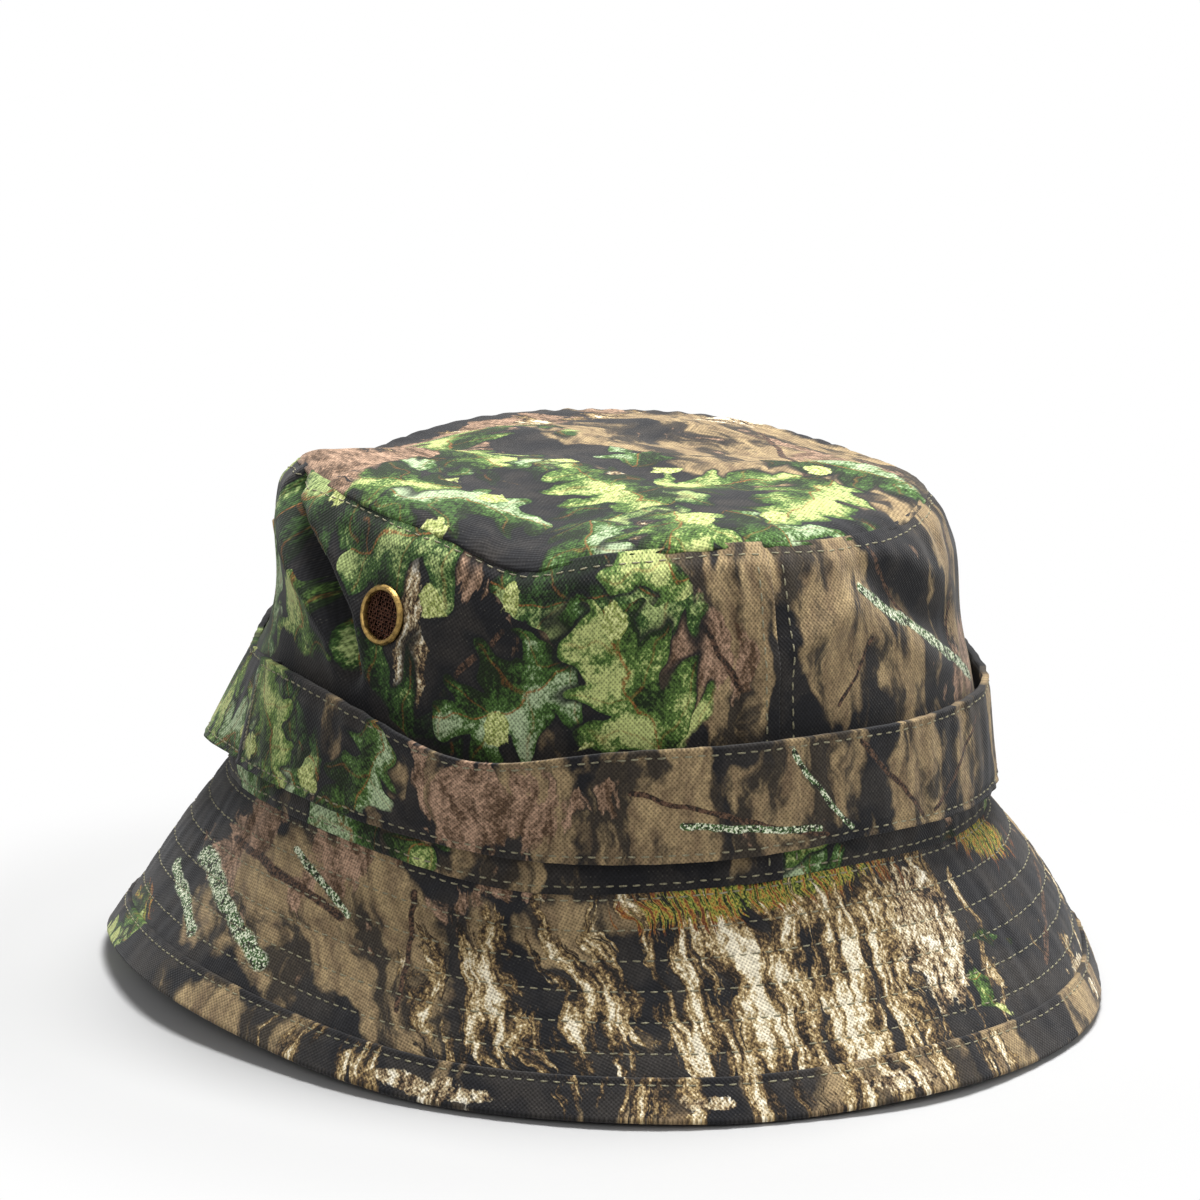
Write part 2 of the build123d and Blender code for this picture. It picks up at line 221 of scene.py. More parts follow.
def tipPoint(turn, share, out=0.0):
    edge = crown["height"]
    x, y = wallBase(turn, edge, bumps(turn, flares["tip"]) * (1 - share))
    x, y = x * (1 - share), y * (1 - share)
    known = np.array(crown["tipClimb"])
    climb = sum(np.interp(share + step, known[:, 0], known[:, 1]) for step in (-0.04, 0, 0.04)) / 3
    climb = climb - (1 - ease(share, 0, 0.08)) * climb * 0.3
    lift = bumps(turn, lifts["tip"]) * (1 - ease(share, 0, 0.75))
    fromSeam = share * crown["halfWidth"]
    puff = 0.8 * hill(fromSeam, 5, 3) - 1.2 * hill(fromSeam, 0, 1.0)
    rng = np.random.default_rng(11)
    swell = 0 * x
    for i in range(9):                                 # soft dents of the loose top panel
        heading, length, phase = rng.uniform(0, 2 * pi), rng.uniform(28, 70), rng.uniform(0, 2 * pi)
        across = x * cos(heading) + y * sin(heading)
        swell = swell + np.sin(across * 2 * pi / length + phase)
    swell = swell / 3 * 0.9 * ease(fromSeam, 2, 20)
    pucker = 0.2 * ripples(turn, 0 * turn, 5, 6, 44, 90, 30) * hill(fromSeam, 4, 3.5)
    return placeOnCrown(x, y, edge + crown["tipRise"] * climb + lift + puff + swell + pucker + out)


def brimPoint(turn, share, out=0.0):
    level = out * brim["levelPerPly"]
    top = wallPoint(turn, 0 * turn, level)
    grow = level + bumps(turn, flares["edge"])
    foot = np.stack([(brim["halfWidth"] + grow) * np.sin(np.radians(turn)),
                     -(brim["halfLength"] + grow) * np.cos(np.radians(turn)),
                     np.maximum(bumps(turn, lifts["edge"]), 0.4) + 0 * level], -1)
    distance = share * brim["length"]
    relief = 0.9 * ripples(turn, distance, 21, 8, 3, 11, 160) * ease(share, 0, 0.4)
    for row in brim["rows"] + [brim["length"] - brim["hem"] + brim["hemRow"]]:
        relief = relief - 0.28 * hill(distance, row, 0.7)
    relief = relief + 0.16 * ripples(turn, distance, 23, 7, 60, 130, 40) * (0.4 + 0.6 * np.sin(pi * share))
    relief = relief - np.sin(pi * share) * bumps(turn, ((-86, 18, 1.5), (5, 20, 0.9), (58, 16, -3.0)))
    way = np.stack([np.sin(np.radians(turn)), -np.cos(np.radians(turn)), 0.55 + 0 * turn], -1)
    share = np.asarray(share)[..., None]
    point = top * (1 - share) + foot * share + way * np.asarray(relief)[..., None] * 0.9
    point[..., 2] = np.maximum(point[..., 2], 0.3)
    return point


# Slack between the band and the wall
def bandStand(turn, high, front):
    ends = ease(np.abs((turn + 180) % 360 - 180), band["endTurn"] - 26, band["endTurn"])
    if front:
        stand = 2.5 + 1.0 * (1 - ends) + 0.5 * ripples(turn, high * 25, 31, 6, 4, 12, 90) * (1 - ends)
    else:
        away = 180 - np.abs((turn + 180) % 360 - 180)
        stand = 0.9 + 1.8 * ease(away, 0, 30) * (1 - ease(away, 50, 70))
        stand = stand + 0.3 * ripples(turn, high * 25, 33, 5, 4, 10, 90)
        stand = stand + bumps(turn, ((-118, 5.5, 1),)) * (4.0 - 3.0 * high)
    return np.maximum(stand, 0.35 if not front else 2.1)


def bandPoint(turn, height, out=0.0, front=True):
    high = height / band["height"]
    rise = band["foot"] + height
    share = rise / crown["height"]
    flare = bumps(turn, flares["seam"]) * (1 - share) + bumps(turn, flares["tip"]) * share
    flare = flare + bumps(turn, flares["bandFoot"]) * (1 - high) * 0.5 + bumps(turn, flares["bandTop"]) * high
    rows = 0.25 * (hill(height, band["row"], 0.6) + hill(height, band["height"] - band["row"], 0.6))
    pucker = 0.16 * ripples(turn, height, 35, 6, 50, 100, 25)
    x, y = wallBase(turn, rise, out + flare + bandStand(turn, high, front) - rows + pucker)
    lift = bumps(turn, lifts["bandFoot"]) * (1 - high) + bumps(turn, lifts["bandTop"]) * high
    return placeOnCrown(x, y, rise + lift)


# Meshes


def cleanMesh(piece):
    shell = bmesh.new()
    shell.from_mesh(piece.data)
    bmesh.ops.recalc_face_normals(shell, faces=shell.faces)
    shell.to_mesh(piece.data)
    shell.free()


# A panel of cloth with an outer face, an inner face and a rim between them. Its flat pattern becomes
# the map of the print, and each region becomes an attribute that asks for one kind of print.
def clothPiece(name, pointAt, acrossStops, alongStops, faces, patternAt, wrap=False, pole=False, holes=(),
               regions=None):
    across, along = np.meshgrid(acrossStops, alongStops, indexing="ij")
    skip = np.zeros((len(acrossStops) - (0 if wrap else 1), len(alongStops) - 1), bool)
    for holeTurn, holeRise, radius, perDegree in holes:
        x, y = (across - holeTurn) * perDegree, along - holeRise
        gap = np.hypot(x, y)
        inside = gap < radius
        scale = np.where(inside, radius / np.maximum(gap, 0.01), 1)
        across, along = holeTurn + x * scale / perDegree, holeRise + y * scale
        skip |= inside[:-1, :-1] & inside[1:, :-1] & inside[:-1, 1:] & inside[1:, 1:]
    outer = pointAt(across, along, faces[0](across, along) if callable(faces[0]) else faces[0])
    inner = pointAt(across, along, faces[1](across, along) if callable(faces[1]) else faces[1])
    rows, columns = across.shape
    count = rows * columns
    index = np.arange(count).reshape(rows, columns)
    if pole:
        index[:, -1] = index[0, -1]
    nextRow = np.roll(index, -1, 0) if wrap else index[1:]
    first = index if wrap else index[:-1]
    quads = np.stack([first[:, :-1], nextRow[:, :-1], nextRow[:, 1:], first[:, 1:]], -1)[~skip]
    back = quads[:, ::-1] + count
    edges = np.concatenate([quads[:, [i, (i + 1) % 4]] for i in range(4)])
    edges = edges[edges[:, 0] != edges[:, 1]]
    keys = edges.min(1).astype(np.int64) * count + edges.max(1)
    firstAt, uses = np.unique(keys, return_index=True, return_counts=True)[1:]
    rim = edges[firstAt[uses == 1]]
    sides = np.stack([rim[:, 1], rim[:, 0], rim[:, 0] + count, rim[:, 1] + count], -1)
    allFaces = np.concatenate([quads, back, sides])
    points = np.concatenate([outer.reshape(-1, 3), inner.reshape(-1, 3)]) * mm
    used, flat = np.unique(allFaces, return_inverse=True)
    flat = flat.reshape(-1, 4)
    faceList = [list(dict.fromkeys(face)) for face in flat.tolist()]
    mesh = bpy.data.meshes.new(name)
    mesh.from_pydata(points[used].tolist(), [], [face for face in faceList if len(face) > 2])
    pattern = patternAt(across, along).reshape(-1, 2)
    pattern = np.concatenate([pattern, pattern])[used] * mm
    loops = np.zeros(len(mesh.loops), np.int32)
    mesh.loops.foreach_get("vertex_index", loops)
    mesh.uv_layers.new(name="cloth").data.foreach_set("uv", pattern[loops].astype(np.float32).ravel())
    for region, spots in (regions or {}).items():
        amount = np.zeros(across.shape)
        for spot in spots:
            amount += spotAmount(across, along, spot, patternAt)
        amount = np.concatenate([amount.ravel()] * 2)[used]
        mesh.attributes.new(region, "FLOAT", "POINT").data.foreach_set("value", amount.astype(np.float32))
    mesh.polygons.foreach_set("use_smooth", np.ones(len(mesh.polygons), bool))
    piece = bpy.data.objects.new(name, mesh)
    bpy.context.scene.collection.objects.link(piece)
    cleanMesh(piece)
    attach(piece, "root")
    return piece


# A soft patch on the flat cloth: place, half width, half height and strength
def spotAmount(across, along, spot, patternAt):
    middleAcross, middleAlong, halfWidth, halfHeight, amount = spot
    middle = patternAt(np.array([[middleAcross]], float), np.array([[middleAlong]], float))[0, 0]
    gap = patternAt(across, along) - middle
    return amount * np.exp(-0.5 * ((gap[..., 0] / halfWidth) ** 2 + (gap[..., 1] / halfHeight) ** 2))


# Middles, directions and face normals of the stitches along a line on the cloth
def stitchRun(curveAt, start, end, out, pitch=3.0):
    stops = np.linspace(start, end, 1600)
    line = curveAt(stops, out)
    run = np.concatenate([[0], np.cumsum(np.linalg.norm(np.diff(line, axis=0), axis=1))])
    middles = np.arange(pitch / 2, run[-1], run[-1] / max(1, round(run[-1] / pitch)))
    at = np.interp(middles, run, stops)
    step = (end - start) / 1600
    centre = curveAt(at, out)
    way = curveAt(at + step, out) - curveAt(at - step, out)
    up = curveAt(at, out + 1.0) - centre
    return centre, way, up


# Small spindles of thread, sunk at both ends into the cloth
def stitches(name, runs, length=2.1, thick=0.24, seed=1):
    rng = np.random.default_rng(seed)
    sides, stations = 6, ((-0.5, 0.0, -0.9), (-0.36, 0.8, -0.1), (0.0, 1.0, 0.35), (0.36, 0.8, -0.1),
                          (0.5, 0.0, -0.9))
    shape, faces = [], []
    for share, bulge, lift in stations:
        for i in range(sides if bulge else 1):
            angle = 2 * pi * i / sides
            shape.append((share * length, bulge * thick * cos(angle),
                          thick * (lift + bulge * 0.8 * sin(angle))))
    for i in range(sides):
        j = (i + 1) % sides
        faces.append((0, 1 + j, 1 + i, 1 + i))
        for ring in range(2):
            low = 1 + ring * sides
            faces.append((low + i, low + j, low + sides + j, low + sides + i))
        last = 1 + 2 * sides
        faces.append((last + i, last + j, 1 + 3 * sides, 1 + 3 * sides))
    shape, faces = np.array(shape), np.array(faces)
    centre, way, up = (np.concatenate([run[i] for run in runs]) for i in range(3))
    way = way / np.linalg.norm(way, axis=1)[:, None]
    up = up / np.linalg.norm(up, axis=1)[:, None]
    side = np.cross(up, way)
    way = way + side * rng.normal(0, 0.05, len(way))[:, None]
    stretch = rng.uniform(0.9, 1.08, len(way))[:, None, None]
    points = centre[:, None] + shape[None, :, 0, None] * way[:, None] * stretch
    points = points + shape[None, :, 1, None] * side[:, None] + shape[None, :, 2, None] * up[:, None]
    allFaces = (faces[None] + (np.arange(len(centre)) * len(shape))[:, None, None]).reshape(-1, 4)
    mesh = bpy.data.meshes.new(name)
    faceList = [list(dict.fromkeys(face)) for face in allFaces.tolist()]
    mesh.from_pydata((points.reshape(-1, 3) * mm).tolist(), [], faceList)
    mesh.polygons.foreach_set("use_smooth", np.ones(len(mesh.polygons), bool))
    piece = bpy.data.objects.new(name, mesh)
    bpy.context.scene.collection.objects.link(piece)
    cleanMesh(piece)
    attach(piece, "root")
    return piece


# Materials


def paint(hexCode):
    channels = [int(hexCode[i:i + 2], 16) / 255 for i in (1, 3, 5)]
    return [c / 12.92 if c <= 0.04045 else ((c + 0.055) / 1.055) ** 2.4 for c in channels] + [1.0]


# Adds a shader node. Plain values fill its sockets in order, and capitalised names fill them by name.
def addNode(tree, kind, *values, **named):
    node = tree.nodes.new("ShaderNode" + kind)
    for key, value in named.items():
        if key[0].islower():
            setattr(node, key, value)
    filled = list(zip([socket for socket in node.inputs if socket.enabled], values))
    filled += [(node.inputs[key.replace("_", " ")], value) for key, value in named.items()
               if key[0].isupper()]
    for socket, value in filled:
        if isinstance(value, bpy.types.Node):
            value = [output for output in value.outputs if output.enabled][0]
        if isinstance(value, bpy.types.NodeSocket):
            tree.links.new(value, socket)
        elif value is not None:
            socket.default_value = value
    return node


def startMaterial(name):
    material = bpy.data.materials.new(name)
    material.use_nodes = True
    material.node_tree.nodes.clear()
    return material, partial(addNode, material.node_tree)


# A scatter of lobed leaves: one leaf to a cell, each turned its own way
def makeLeafLayer():
    tree = bpy.data.node_groups.new("leafLayer", "ShaderNodeTree")
    for label, kind in (("Place", "Vector"), ("Shift", "Vector"), ("Cell", "Float")):
        tree.interface.new_socket(label, in_out="INPUT", socket_type="NodeSocket" + kind)
    for label in ("Leaf", "Vein", "Light", "Shade"):
        tree.interface.new_socket(label, in_out="OUTPUT", socket_type="NodeSocketFloat")
    source = tree.nodes.new("NodeGroupInput")
    target = tree.nodes.new("NodeGroupOutput")
    add = partial(addNode, tree)
    shrunk = add("VectorMath", source.outputs["Place"], operation="SCALE",
                 Scale=add("Math", 1.0, source.outputs["Cell"], operation="DIVIDE"))
    moved = add("VectorMath", shrunk, source.outputs["Shift"], operation="ADD")
    wobble = add("TexNoise", moved, noise_dimensions="2D", Scale=4.5, Detail=1.0)
    wobble = add("VectorMath", wobble.outputs["Color"], (0.5, 0.5, 0.5), operation="SUBTRACT")
    bent = add("VectorMath", wobble, (0.2, 0.2, 0), moved, operation="MULTIPLY_ADD")
    cells = add("TexVoronoi", bent, voronoi_dimensions="2D", feature="F1", Scale=1.0, Randomness=0.7)
    local = add("VectorMath", bent, cells.outputs["Position"], operation="SUBTRACT")
    chance = add("SeparateXYZ", cells.outputs["Color"])
    angle = add("Math", chance.outputs[0], 2 * pi, operation="MULTIPLY")
    turned = add("SeparateXYZ", add("VectorRotate", local, rotation_type="Z_AXIS", Angle=angle))
    along = add("Math", turned.outputs[0], 1 / 1.05, 0.5, operation="MULTIPLY_ADD")
    curve = add("Math", add("Math", along, pi, operation="MULTIPLY"), operation="SINE")
    sideways = add("Math", curve, -0.07, add("Math", turned.outputs[1], 0.04, operation="ADD"),
                   operation="MULTIPLY_ADD")
    apart = add("Math", sideways, operation="ABSOLUTE")
    swept = add("Math", apart, -0.62, along, operation="MULTIPLY_ADD")
    wave = add("Math", add("Math", swept, 2 * pi * 4.3, operation="MULTIPLY"), operation="COSINE")
    lobe = add("Math", wave, 0.5, 0.5, operation="MULTIPLY_ADD")
    lobe = add("Math", lobe, 0.75, operation="POWER")
    room = add("Math", along, add("Math", 1.0, along, operation="SUBTRACT"), operation="MULTIPLY")
    room = add("Math", add("Math", room, 0.0, operation="MAXIMUM"), 4.0, operation="MULTIPLY")
    width = add("Math", add("Math", room, 0.55, operation="POWER"), 0.33, operation="MULTIPLY")
    width = add("Math", width, add("Math", lobe, 0.55, 0.45, operation="MULTIPLY_ADD"), operation="MULTIPLY")
    inside = add("Math", width, apart, operation="SUBTRACT")
    leaf = add("MapRange", inside, 0.0, 0.016, 0.0, 1.0, interpolation_type="SMOOTHSTEP")
    grown = add("Math", chance.outputs[2], 0.28, operation="GREATER_THAN")
    leaf = add("Math", leaf, grown, operation="MULTIPLY")
    shade = add("Math", add("MapRange", inside, -0.07, 0.0, 0.0, 0.9, interpolation_type="SMOOTHSTEP"),
                grown, operation="MULTIPLY")
    midrib = add("MapRange", apart, 0.003, 0.009, 0.9, 0.0)
    between = add("Math", add("Math", swept, 4.3, operation="MULTIPLY"), 0.5, operation="PINGPONG")
    branch = add("MapRange", between, 0.015, 0.045, 0.4, 0.0)
    branch = add("Math", branch, add("MapRange", inside, 0.02, 0.06, 0.0, 1.0), operation="MULTIPLY")
    vein = add("Math", leaf, add("Math", midrib, branch, operation="MAXIMUM"), operation="MULTIPLY")
    half = add("MapRange", sideways, -0.03, 0.03, -0.42, 0.3)
    body = add("MapRange", inside, 0.0, 0.1, -0.25, 0.25, interpolation_type="SMOOTHSTEP")
    light = add("Math", body, half, operation="ADD")
    light = add("Math", chance.outputs[1], 0.3, light, operation="MULTIPLY_ADD")
    for label, value in (("Leaf", leaf), ("Vein", vein), ("Light", light), ("Shade", shade)):
        tree.links.new(value.outputs[0], target.inputs[label])
    return tree


leafLayer = makeLeafLayer()


# A point on the flat cloth, in millimetres
def clothPlace(add, shift):
    return add("Mapping", add("UVMap", uv_map="cloth"), (shift[0], shift[1], 0), None, (1000, 1000, 1000))


def weaveHeight(add, place, pitch):
    parts = add("SeparateXYZ", place)
    warp = add("Math", add("Math", parts.outputs[0], pi / pitch, operation="MULTIPLY"), operation="SINE")
    weft = add("Math", add("Math", parts.outputs[1], pi / pitch, operation="MULTIPLY"), operation="SINE")
    return add("Math", add("Math", warp, weft, operation="MULTIPLY"), 0.5, 0.5, operation="MULTIPLY_ADD")


# 1 inside a straight stroke, fading to 0 at its edge
def strokeMask(add, place, start, end, halfWidth):
    reach = (end[0] - start[0], end[1] - start[1], 0)
    size = reach[0] ** 2 + reach[1] ** 2
    local = add("VectorMath", place, (start[0], start[1], 0), operation="SUBTRACT")
    along = add("VectorMath", local, reach, operation="DOT_PRODUCT").outputs["Value"]
    along = add("Math", along, 1 / size, operation="MULTIPLY", use_clamp=True)
    near = add("VectorMath", reach, operation="SCALE", Scale=along)
    gap = add("VectorMath", local, near, operation="DISTANCE").outputs["Value"]
    return add("MapRange", gap, halfWidth * 0.7, halfWidth, 1.0, 0.0)


# How strongly a piece asks for one kind of print at this spot
def regionAmount(add, region):
    return add("Attribute", attribute_name=region).outputs["Fac"]


# Noise drawn out into streaks that lie at an angle
def streaks(add, place, turn, squeeze, detail, roughness=0.5, shift=None):
    turned = add("Mapping", place, shift, (0, 0, radians(turn)), (squeeze[0], squeeze[1], 1))
    return add("TexNoise", turned, noise_dimensions="2D", Scale=1.0, Detail=detail, Roughness=roughness)


def toneRamp(add, value, tones):
    ramp = add("ValToRGB", value)
    elements = ramp.color_ramp.elements
    for stop, code in tones:
        elements.new(stop).color = paint(code)
    elements.remove(elements[0])
    elements.remove(elements[-1])
    return ramp


def mixInk(add, amount, under, over, **named):
    return add("Mix", amount, under, over, data_type="RGBA", **named)


# The noises that every layer of the print shares
def inkNoises(add, look):
    place = clothPlace(add, look["shift"])
    roam = add("TexNoise", place, noise_dimensions="2D", Scale=0.05, Detail=3.0)
    roam = add("VectorMath", roam.outputs["Color"], (0.5, 0.5, 0.5), operation="SUBTRACT")
    bent = add("VectorMath", roam, (14, 14, 0), place, operation="MULTIPLY_ADD")
    ragged = add("TexNoise", place, noise_dimensions="2D", Scale=0.16, Detail=5.0, Roughness=0.62)
    return {
        "place": place,
        "roam": roam,
        "bent": bent,
        "fine": add("TexNoise", place, noise_dimensions="2D", Scale=0.9, Detail=2.0, Roughness=0.7),
        "speck": add("TexNoise", place, noise_dimensions="2D", Scale=1.6, Detail=1.0),
        "ragged": add("Math", ragged, 0.5, operation="SUBTRACT"),
        "cloud": add("TexNoise", bent, noise_dimensions="2D", Scale=0.07, Detail=4.0),
        "grain": streaks(add, bent, look["grainTurn"], (0.3, 0.09), 4.0, 0.6),
        "shadow": streaks(add, bent, look["grainTurn"] - 18, (0.09, 0.035), 5.0, 0.6, (3, 7, 0)),
    }


# The same noise, roughened by the fine one
def roughened(add, noise, ink, amount):
    centred = add("Math", ink["fine"], 0.5, operation="SUBTRACT")
    return add("Math", centred, amount, noise, operation="MULTIPLY_ADD")


def charcoalGround(add, ink):
    return mixInk(add, add("MapRange", ink["cloud"], 0.4, 0.62, 0.0, 1.0), paint("#18181b"), paint("#2e2b29"))


# Khaki tan with soft charcoal shadows across it
def tanWash(add, ink, look, colour):
    stripe = streaks(add, ink["bent"], look["tanTurn"], (0.055, 0.016), 3.0)
    tanAt = add("Math", regionAmount(add, "tan"), 0.3, stripe, operation="MULTIPLY_ADD")
    tanAt = add("Math", ink["ragged"], 0.12, tanAt, operation="MULTIPLY_ADD")
    tanMask = add("MapRange", tanAt, look["tanFrom"], look["tanFrom"] + 0.07, 0.0, 1.0,
                  interpolation_type="SMOOTHSTEP")
    tan = mixInk(add, add("MapRange", ink["grain"], 0.3, 0.7, 0.0, 1.0), paint(look["tanDark"]),
                 paint(look["tanLight"]))
    shaded = add("MapRange", ink["shadow"], 0.47, 0.6, 0.0, 0.93, interpolation_type="SMOOTHSTEP")
    return mixInk(add, tanMask, colour, mixInk(add, shaded, tan, paint("#262321")))


# Pinkish brown wood, coarsely grained
def blushWood(add, ink, colour):
    blushAt = add("Math", ink["ragged"], 0.5, regionAmount(add, "blush"), operation="MULTIPLY_ADD")
    shadow = add("Math", ink["shadow"], 0.5, operation="SUBTRACT")
    blushAt = add("Math", shadow, 2.2, blushAt, operation="MULTIPLY_ADD")
    blushMask = add("MapRange", blushAt, 0.5, 0.62, 0.0, 1.0, interpolation_type="SMOOTHSTEP")
    tone = add("Math", ink["grain"], 0.7, operation="MULTIPLY")
    tone = add("Math", ink["fine"], 0.3, tone, operation="MULTIPLY_ADD")
    blush = mixInk(add, add("MapRange", tone, 0.4, 0.62, 0.0, 1.0), paint("#54402f"), paint("#ab8c74"))
    return mixInk(add, blushMask, colour, blush)


# Bark in raised streaks, palest along their middles
def barkStreaks(add, ink, look, colour):
    bark = streaks(add, ink["bent"], look["barkTurn"], (0.11, 0.024), 6.0, 0.66)
    barkAt = add("Math", regionAmount(add, "bark"), 0.3, bark, operation="MULTIPLY_ADD")
    strand = streaks(add, ink["bent"], look["barkTurn"], (0.32, 0.07), 4.0, 0.62)
    strand = roughened(add, strand, ink, 0.45)
    raised = add("MapRange", barkAt, 0.735, 0.93, -0.17, 0.15)
    tone = toneRamp(add, add("Math", strand, raised, operation="ADD"), (
        (0.3, "#211c18"), (0.4, "#54432f"), (0.5, "#8f774f"), (0.58, "#b8a47b"), (0.68, "#e2d8bf")))
    return mixInk(add, add("MapRange", barkAt, 0.735, 0.765, 0.0, 1.0), colour, tone)


# Pale patches of peeling bark with dark cracks
def peelingBark(add, ink, look, colour):
    creamAt = add("Math", ink["ragged"], 0.9, regionAmount(add, "cream"), operation="MULTIPLY_ADD")
    crack = streaks(add, ink["bent"], look["barkTurn"] + 12, (0.3, 0.11), 5.0, 0.68)
    tone = toneRamp(add, roughened(add, crack, ink, 0.4), (
        (0.36, "#241e1a"), (0.44, "#6d5942"), (0.5, "#a18b68"), (0.57, "#cbbd9c"), (0.65, "#e9e1ce")))
    return mixInk(add, add("MapRange", creamAt, 0.5, 0.56, 0.0, 1.0), colour, tone)


# Bare twigs, and twigs crusted with lichen
def twigStrokes(add, ink, look, colour):
    twigPlace = add("VectorMath", ink["roam"], (5, 5, 0), ink["place"], operation="MULTIPLY_ADD")
    bare = mixInk(add, add("MapRange", ink["fine"], 0.4, 0.6, 0.0, 1.0), paint("#29221d"), paint("#5d4637"))
    for start, end, halfWidth in look["twigs"]:
        colour = mixInk(add, strokeMask(add, twigPlace, start, end, halfWidth), colour, bare)
    crust = add("TexNoise", ink["place"], noise_dimensions="2D", Scale=0.45, Detail=4.0, Roughness=0.7)
    lichen = mixInk(add, add("MapRange", crust, 0.4, 0.5, 0.0, 1.0), paint("#2a2a20"), paint("#4c6b3c"))
    white = add("MapRange", add("Math", crust, ink["speck"], operation="ADD"), 1.0, 1.1, 0.0, 1.0)
    lichen = mixInk(add, white, lichen, paint("#dadfc4"))
    for start, end, halfWidth in look["lichen"]:
        colour = mixInk(add, strokeMask(add, twigPlace, start, end, halfWidth), colour, lichen)
    return colour


# Dry grass, green and rust
def grassBlades(add, ink, look, colour):
    blades = streaks(add, ink["bent"], look["grassTurn"], (0.9, 0.07), 3.0, 0.6)
    grassAt = add("Math", add("Math", blades, 0.5, operation="SUBTRACT"), 1.0, regionAmount(add, "grass"),
                  operation="MULTIPLY_ADD")
    tone = toneRamp(add, roughened(add, blades, ink, 0.4), (
        (0.36, "#1f2416"), (0.45, "#59682b"), (0.52, "#a2a348"), (0.6, "#a96a35"), (0.66, "#6b3f26")))
    return mixInk(add, add("MapRange", grassAt, 0.5, 0.56, 0.0, 1.0), colour, tone)


# One layer of leaves over its own dark shade, each leaf with a lit half and a rusty midrib
def leafPrint(add, ink, layerLook, shine, colour):
    cell, shift, deep, bright = layerLook
    layer = add("Group", node_tree=leafLayer, Place=ink["place"], Shift=(shift, shift * 1.7 + 3, 0),
                Cell=cell)
    leafyHere = add("Math", ink["cloud"], 0.5, regionAmount(add, "leafy"), operation="MULTIPLY_ADD")
    allowed = add("MapRange", leafyHere, 0.62, 0.66, 0.0, 1.0)
    shade = add("Math", layer.outputs["Shade"], allowed, operation="MULTIPLY")
    colour = mixInk(add, shade, colour, paint("#17181a"))
    moved = add("VectorMath", ink["place"], (shift * 9, 0, 0), operation="ADD")
    patchy = add("TexNoise", moved, noise_dimensions="2D", Scale=0.09, Detail=2.0)
    tone = add("Math", patchy, 2.4, -1.2, operation="MULTIPLY_ADD")
    tone = add("Math", layer.outputs["Light"], tone, operation="ADD")
    tone = roughened(add, tone, ink, 1.5)
    green = mixInk(add, add("MapRange", tone, -0.3, 0.45, 0.0, 1.0), paint(deep), paint(bright))
    green = mixInk(add, add("MapRange", tone, 0.4, 0.9, 0.0, 0.9), green, paint(shine))
    broken = add("MapRange", ink["speck"], 0.4, 0.5, 0.2, 0.9)
    vein = add("Math", layer.outputs["Vein"], broken, operation="MULTIPLY")
    green = mixInk(add, vein, green, paint("#8e5a30"))
    return mixInk(add, add("Math", layer.outputs["Leaf"], allowed, operation="MULTIPLY"), colour, green)


# Small yellow-green scraps of leaf between the large ones
def leafScraps(add, ink, colour):
    scrap = add("TexVoronoi", ink["place"], voronoi_dimensions="2D", feature="F1", Scale=1 / 24,
                Randomness=0.9)
    gap = add("Math", ink["ragged"], 0.35, scrap.outputs["Distance"], operation="MULTIPLY_ADD")
    chance = add("SeparateXYZ", scrap.outputs["Color"]).outputs[0]
    chosen = add("Math", regionAmount(add, "leafy"), chance, operation="MULTIPLY")
    mask = add("Math", add("MapRange", gap, 0.13, 0.15, 1.0, 0.0),
               add("MapRange", chosen, 0.5, 0.52, 0.0, 1.0), operation="MULTIPLY")
    tone = mixInk(add, add("MapRange", ink["fine"], 0.35, 0.65, 0.0, 1.0), paint("#8f9c50"), paint("#cdd28f"))
    return mixInk(add, mask, colour, tone)


# Cotton canvas printed by screen with a leafy woodland design: matt, slightly rubbed and given a painted
# highlight on the high threads, and darker between them with painted shade
def printedCanvas(name, look):
    material, add = startMaterial(name)
    ink = inkNoises(add, look)
    colour = charcoalGround(add, ink)
    colour = tanWash(add, ink, look, colour)
    colour = blushWood(add, ink, colour)
    colour = barkStreaks(add, ink, look, colour)
    colour = peelingBark(add, ink, look, colour)
    colour = twigStrokes(add, ink, look, colour)
    colour = grassBlades(add, ink, look, colour)
    for layerLook, shine in zip(look["leaves"], look["leafShine"]):
        colour = leafPrint(add, ink, layerLook, shine, colour)
    colour = leafScraps(add, ink, colour)

    weave = weaveHeight(add, ink["place"], cloth["threadGap"])
    stretched = add("Mapping", ink["place"], None, None, (0.25, 1.6, 1))
    slub = add("TexNoise", stretched, noise_dimensions="2D", Scale=1.0, Detail=2.0)
    # Worn print and a painted highlight: the high threads are paled toward a light grey-beige
    wornAndLitThreads = add("Math", weave, add("Math", slub, 1.4, -0.35, operation="MULTIPLY_ADD"), operation="MULTIPLY")
    speckle = add("MapRange", ink["fine"], 0.3, 0.7, 0.7, 1.18)
    colour = mixInk(add, 1.0, colour, speckle, blend_type="MULTIPLY")
    colour = mixInk(add, add("MapRange", wornAndLitThreads, 0.45, 0.8, 0.0, 0.12), colour, paint("#b9b39f"))
    # Painted shade: the colour is darkened between the threads of the weave
    between = mixInk(add, add("MapRange", weave, 0.0, 0.6, 0.0, 1.0), paint("#b4b4b4"), paint("#ffffff"))
    colour = mixInk(add, 1.0, colour, between, blend_type="MULTIPLY")
    height = add("Math", weave, add("Math", slub, 0.8, 0.6, operation="MULTIPLY_ADD"), operation="MULTIPLY")
    bump = add("Bump", Strength=0.55, Distance=0.00022, Height=height)
    shader = add("BsdfPrincipled", Base_Color=colour, Roughness=0.9, IOR=1.45, Normal=bump)
    shader.inputs["Specular IOR Level"].default_value = 0.25
    shader.inputs["Sheen Weight"].default_value = 0.08
    shader.inputs["Sheen Roughness"].default_value = 0.5
    add("OutputMaterial", shader)
    return material


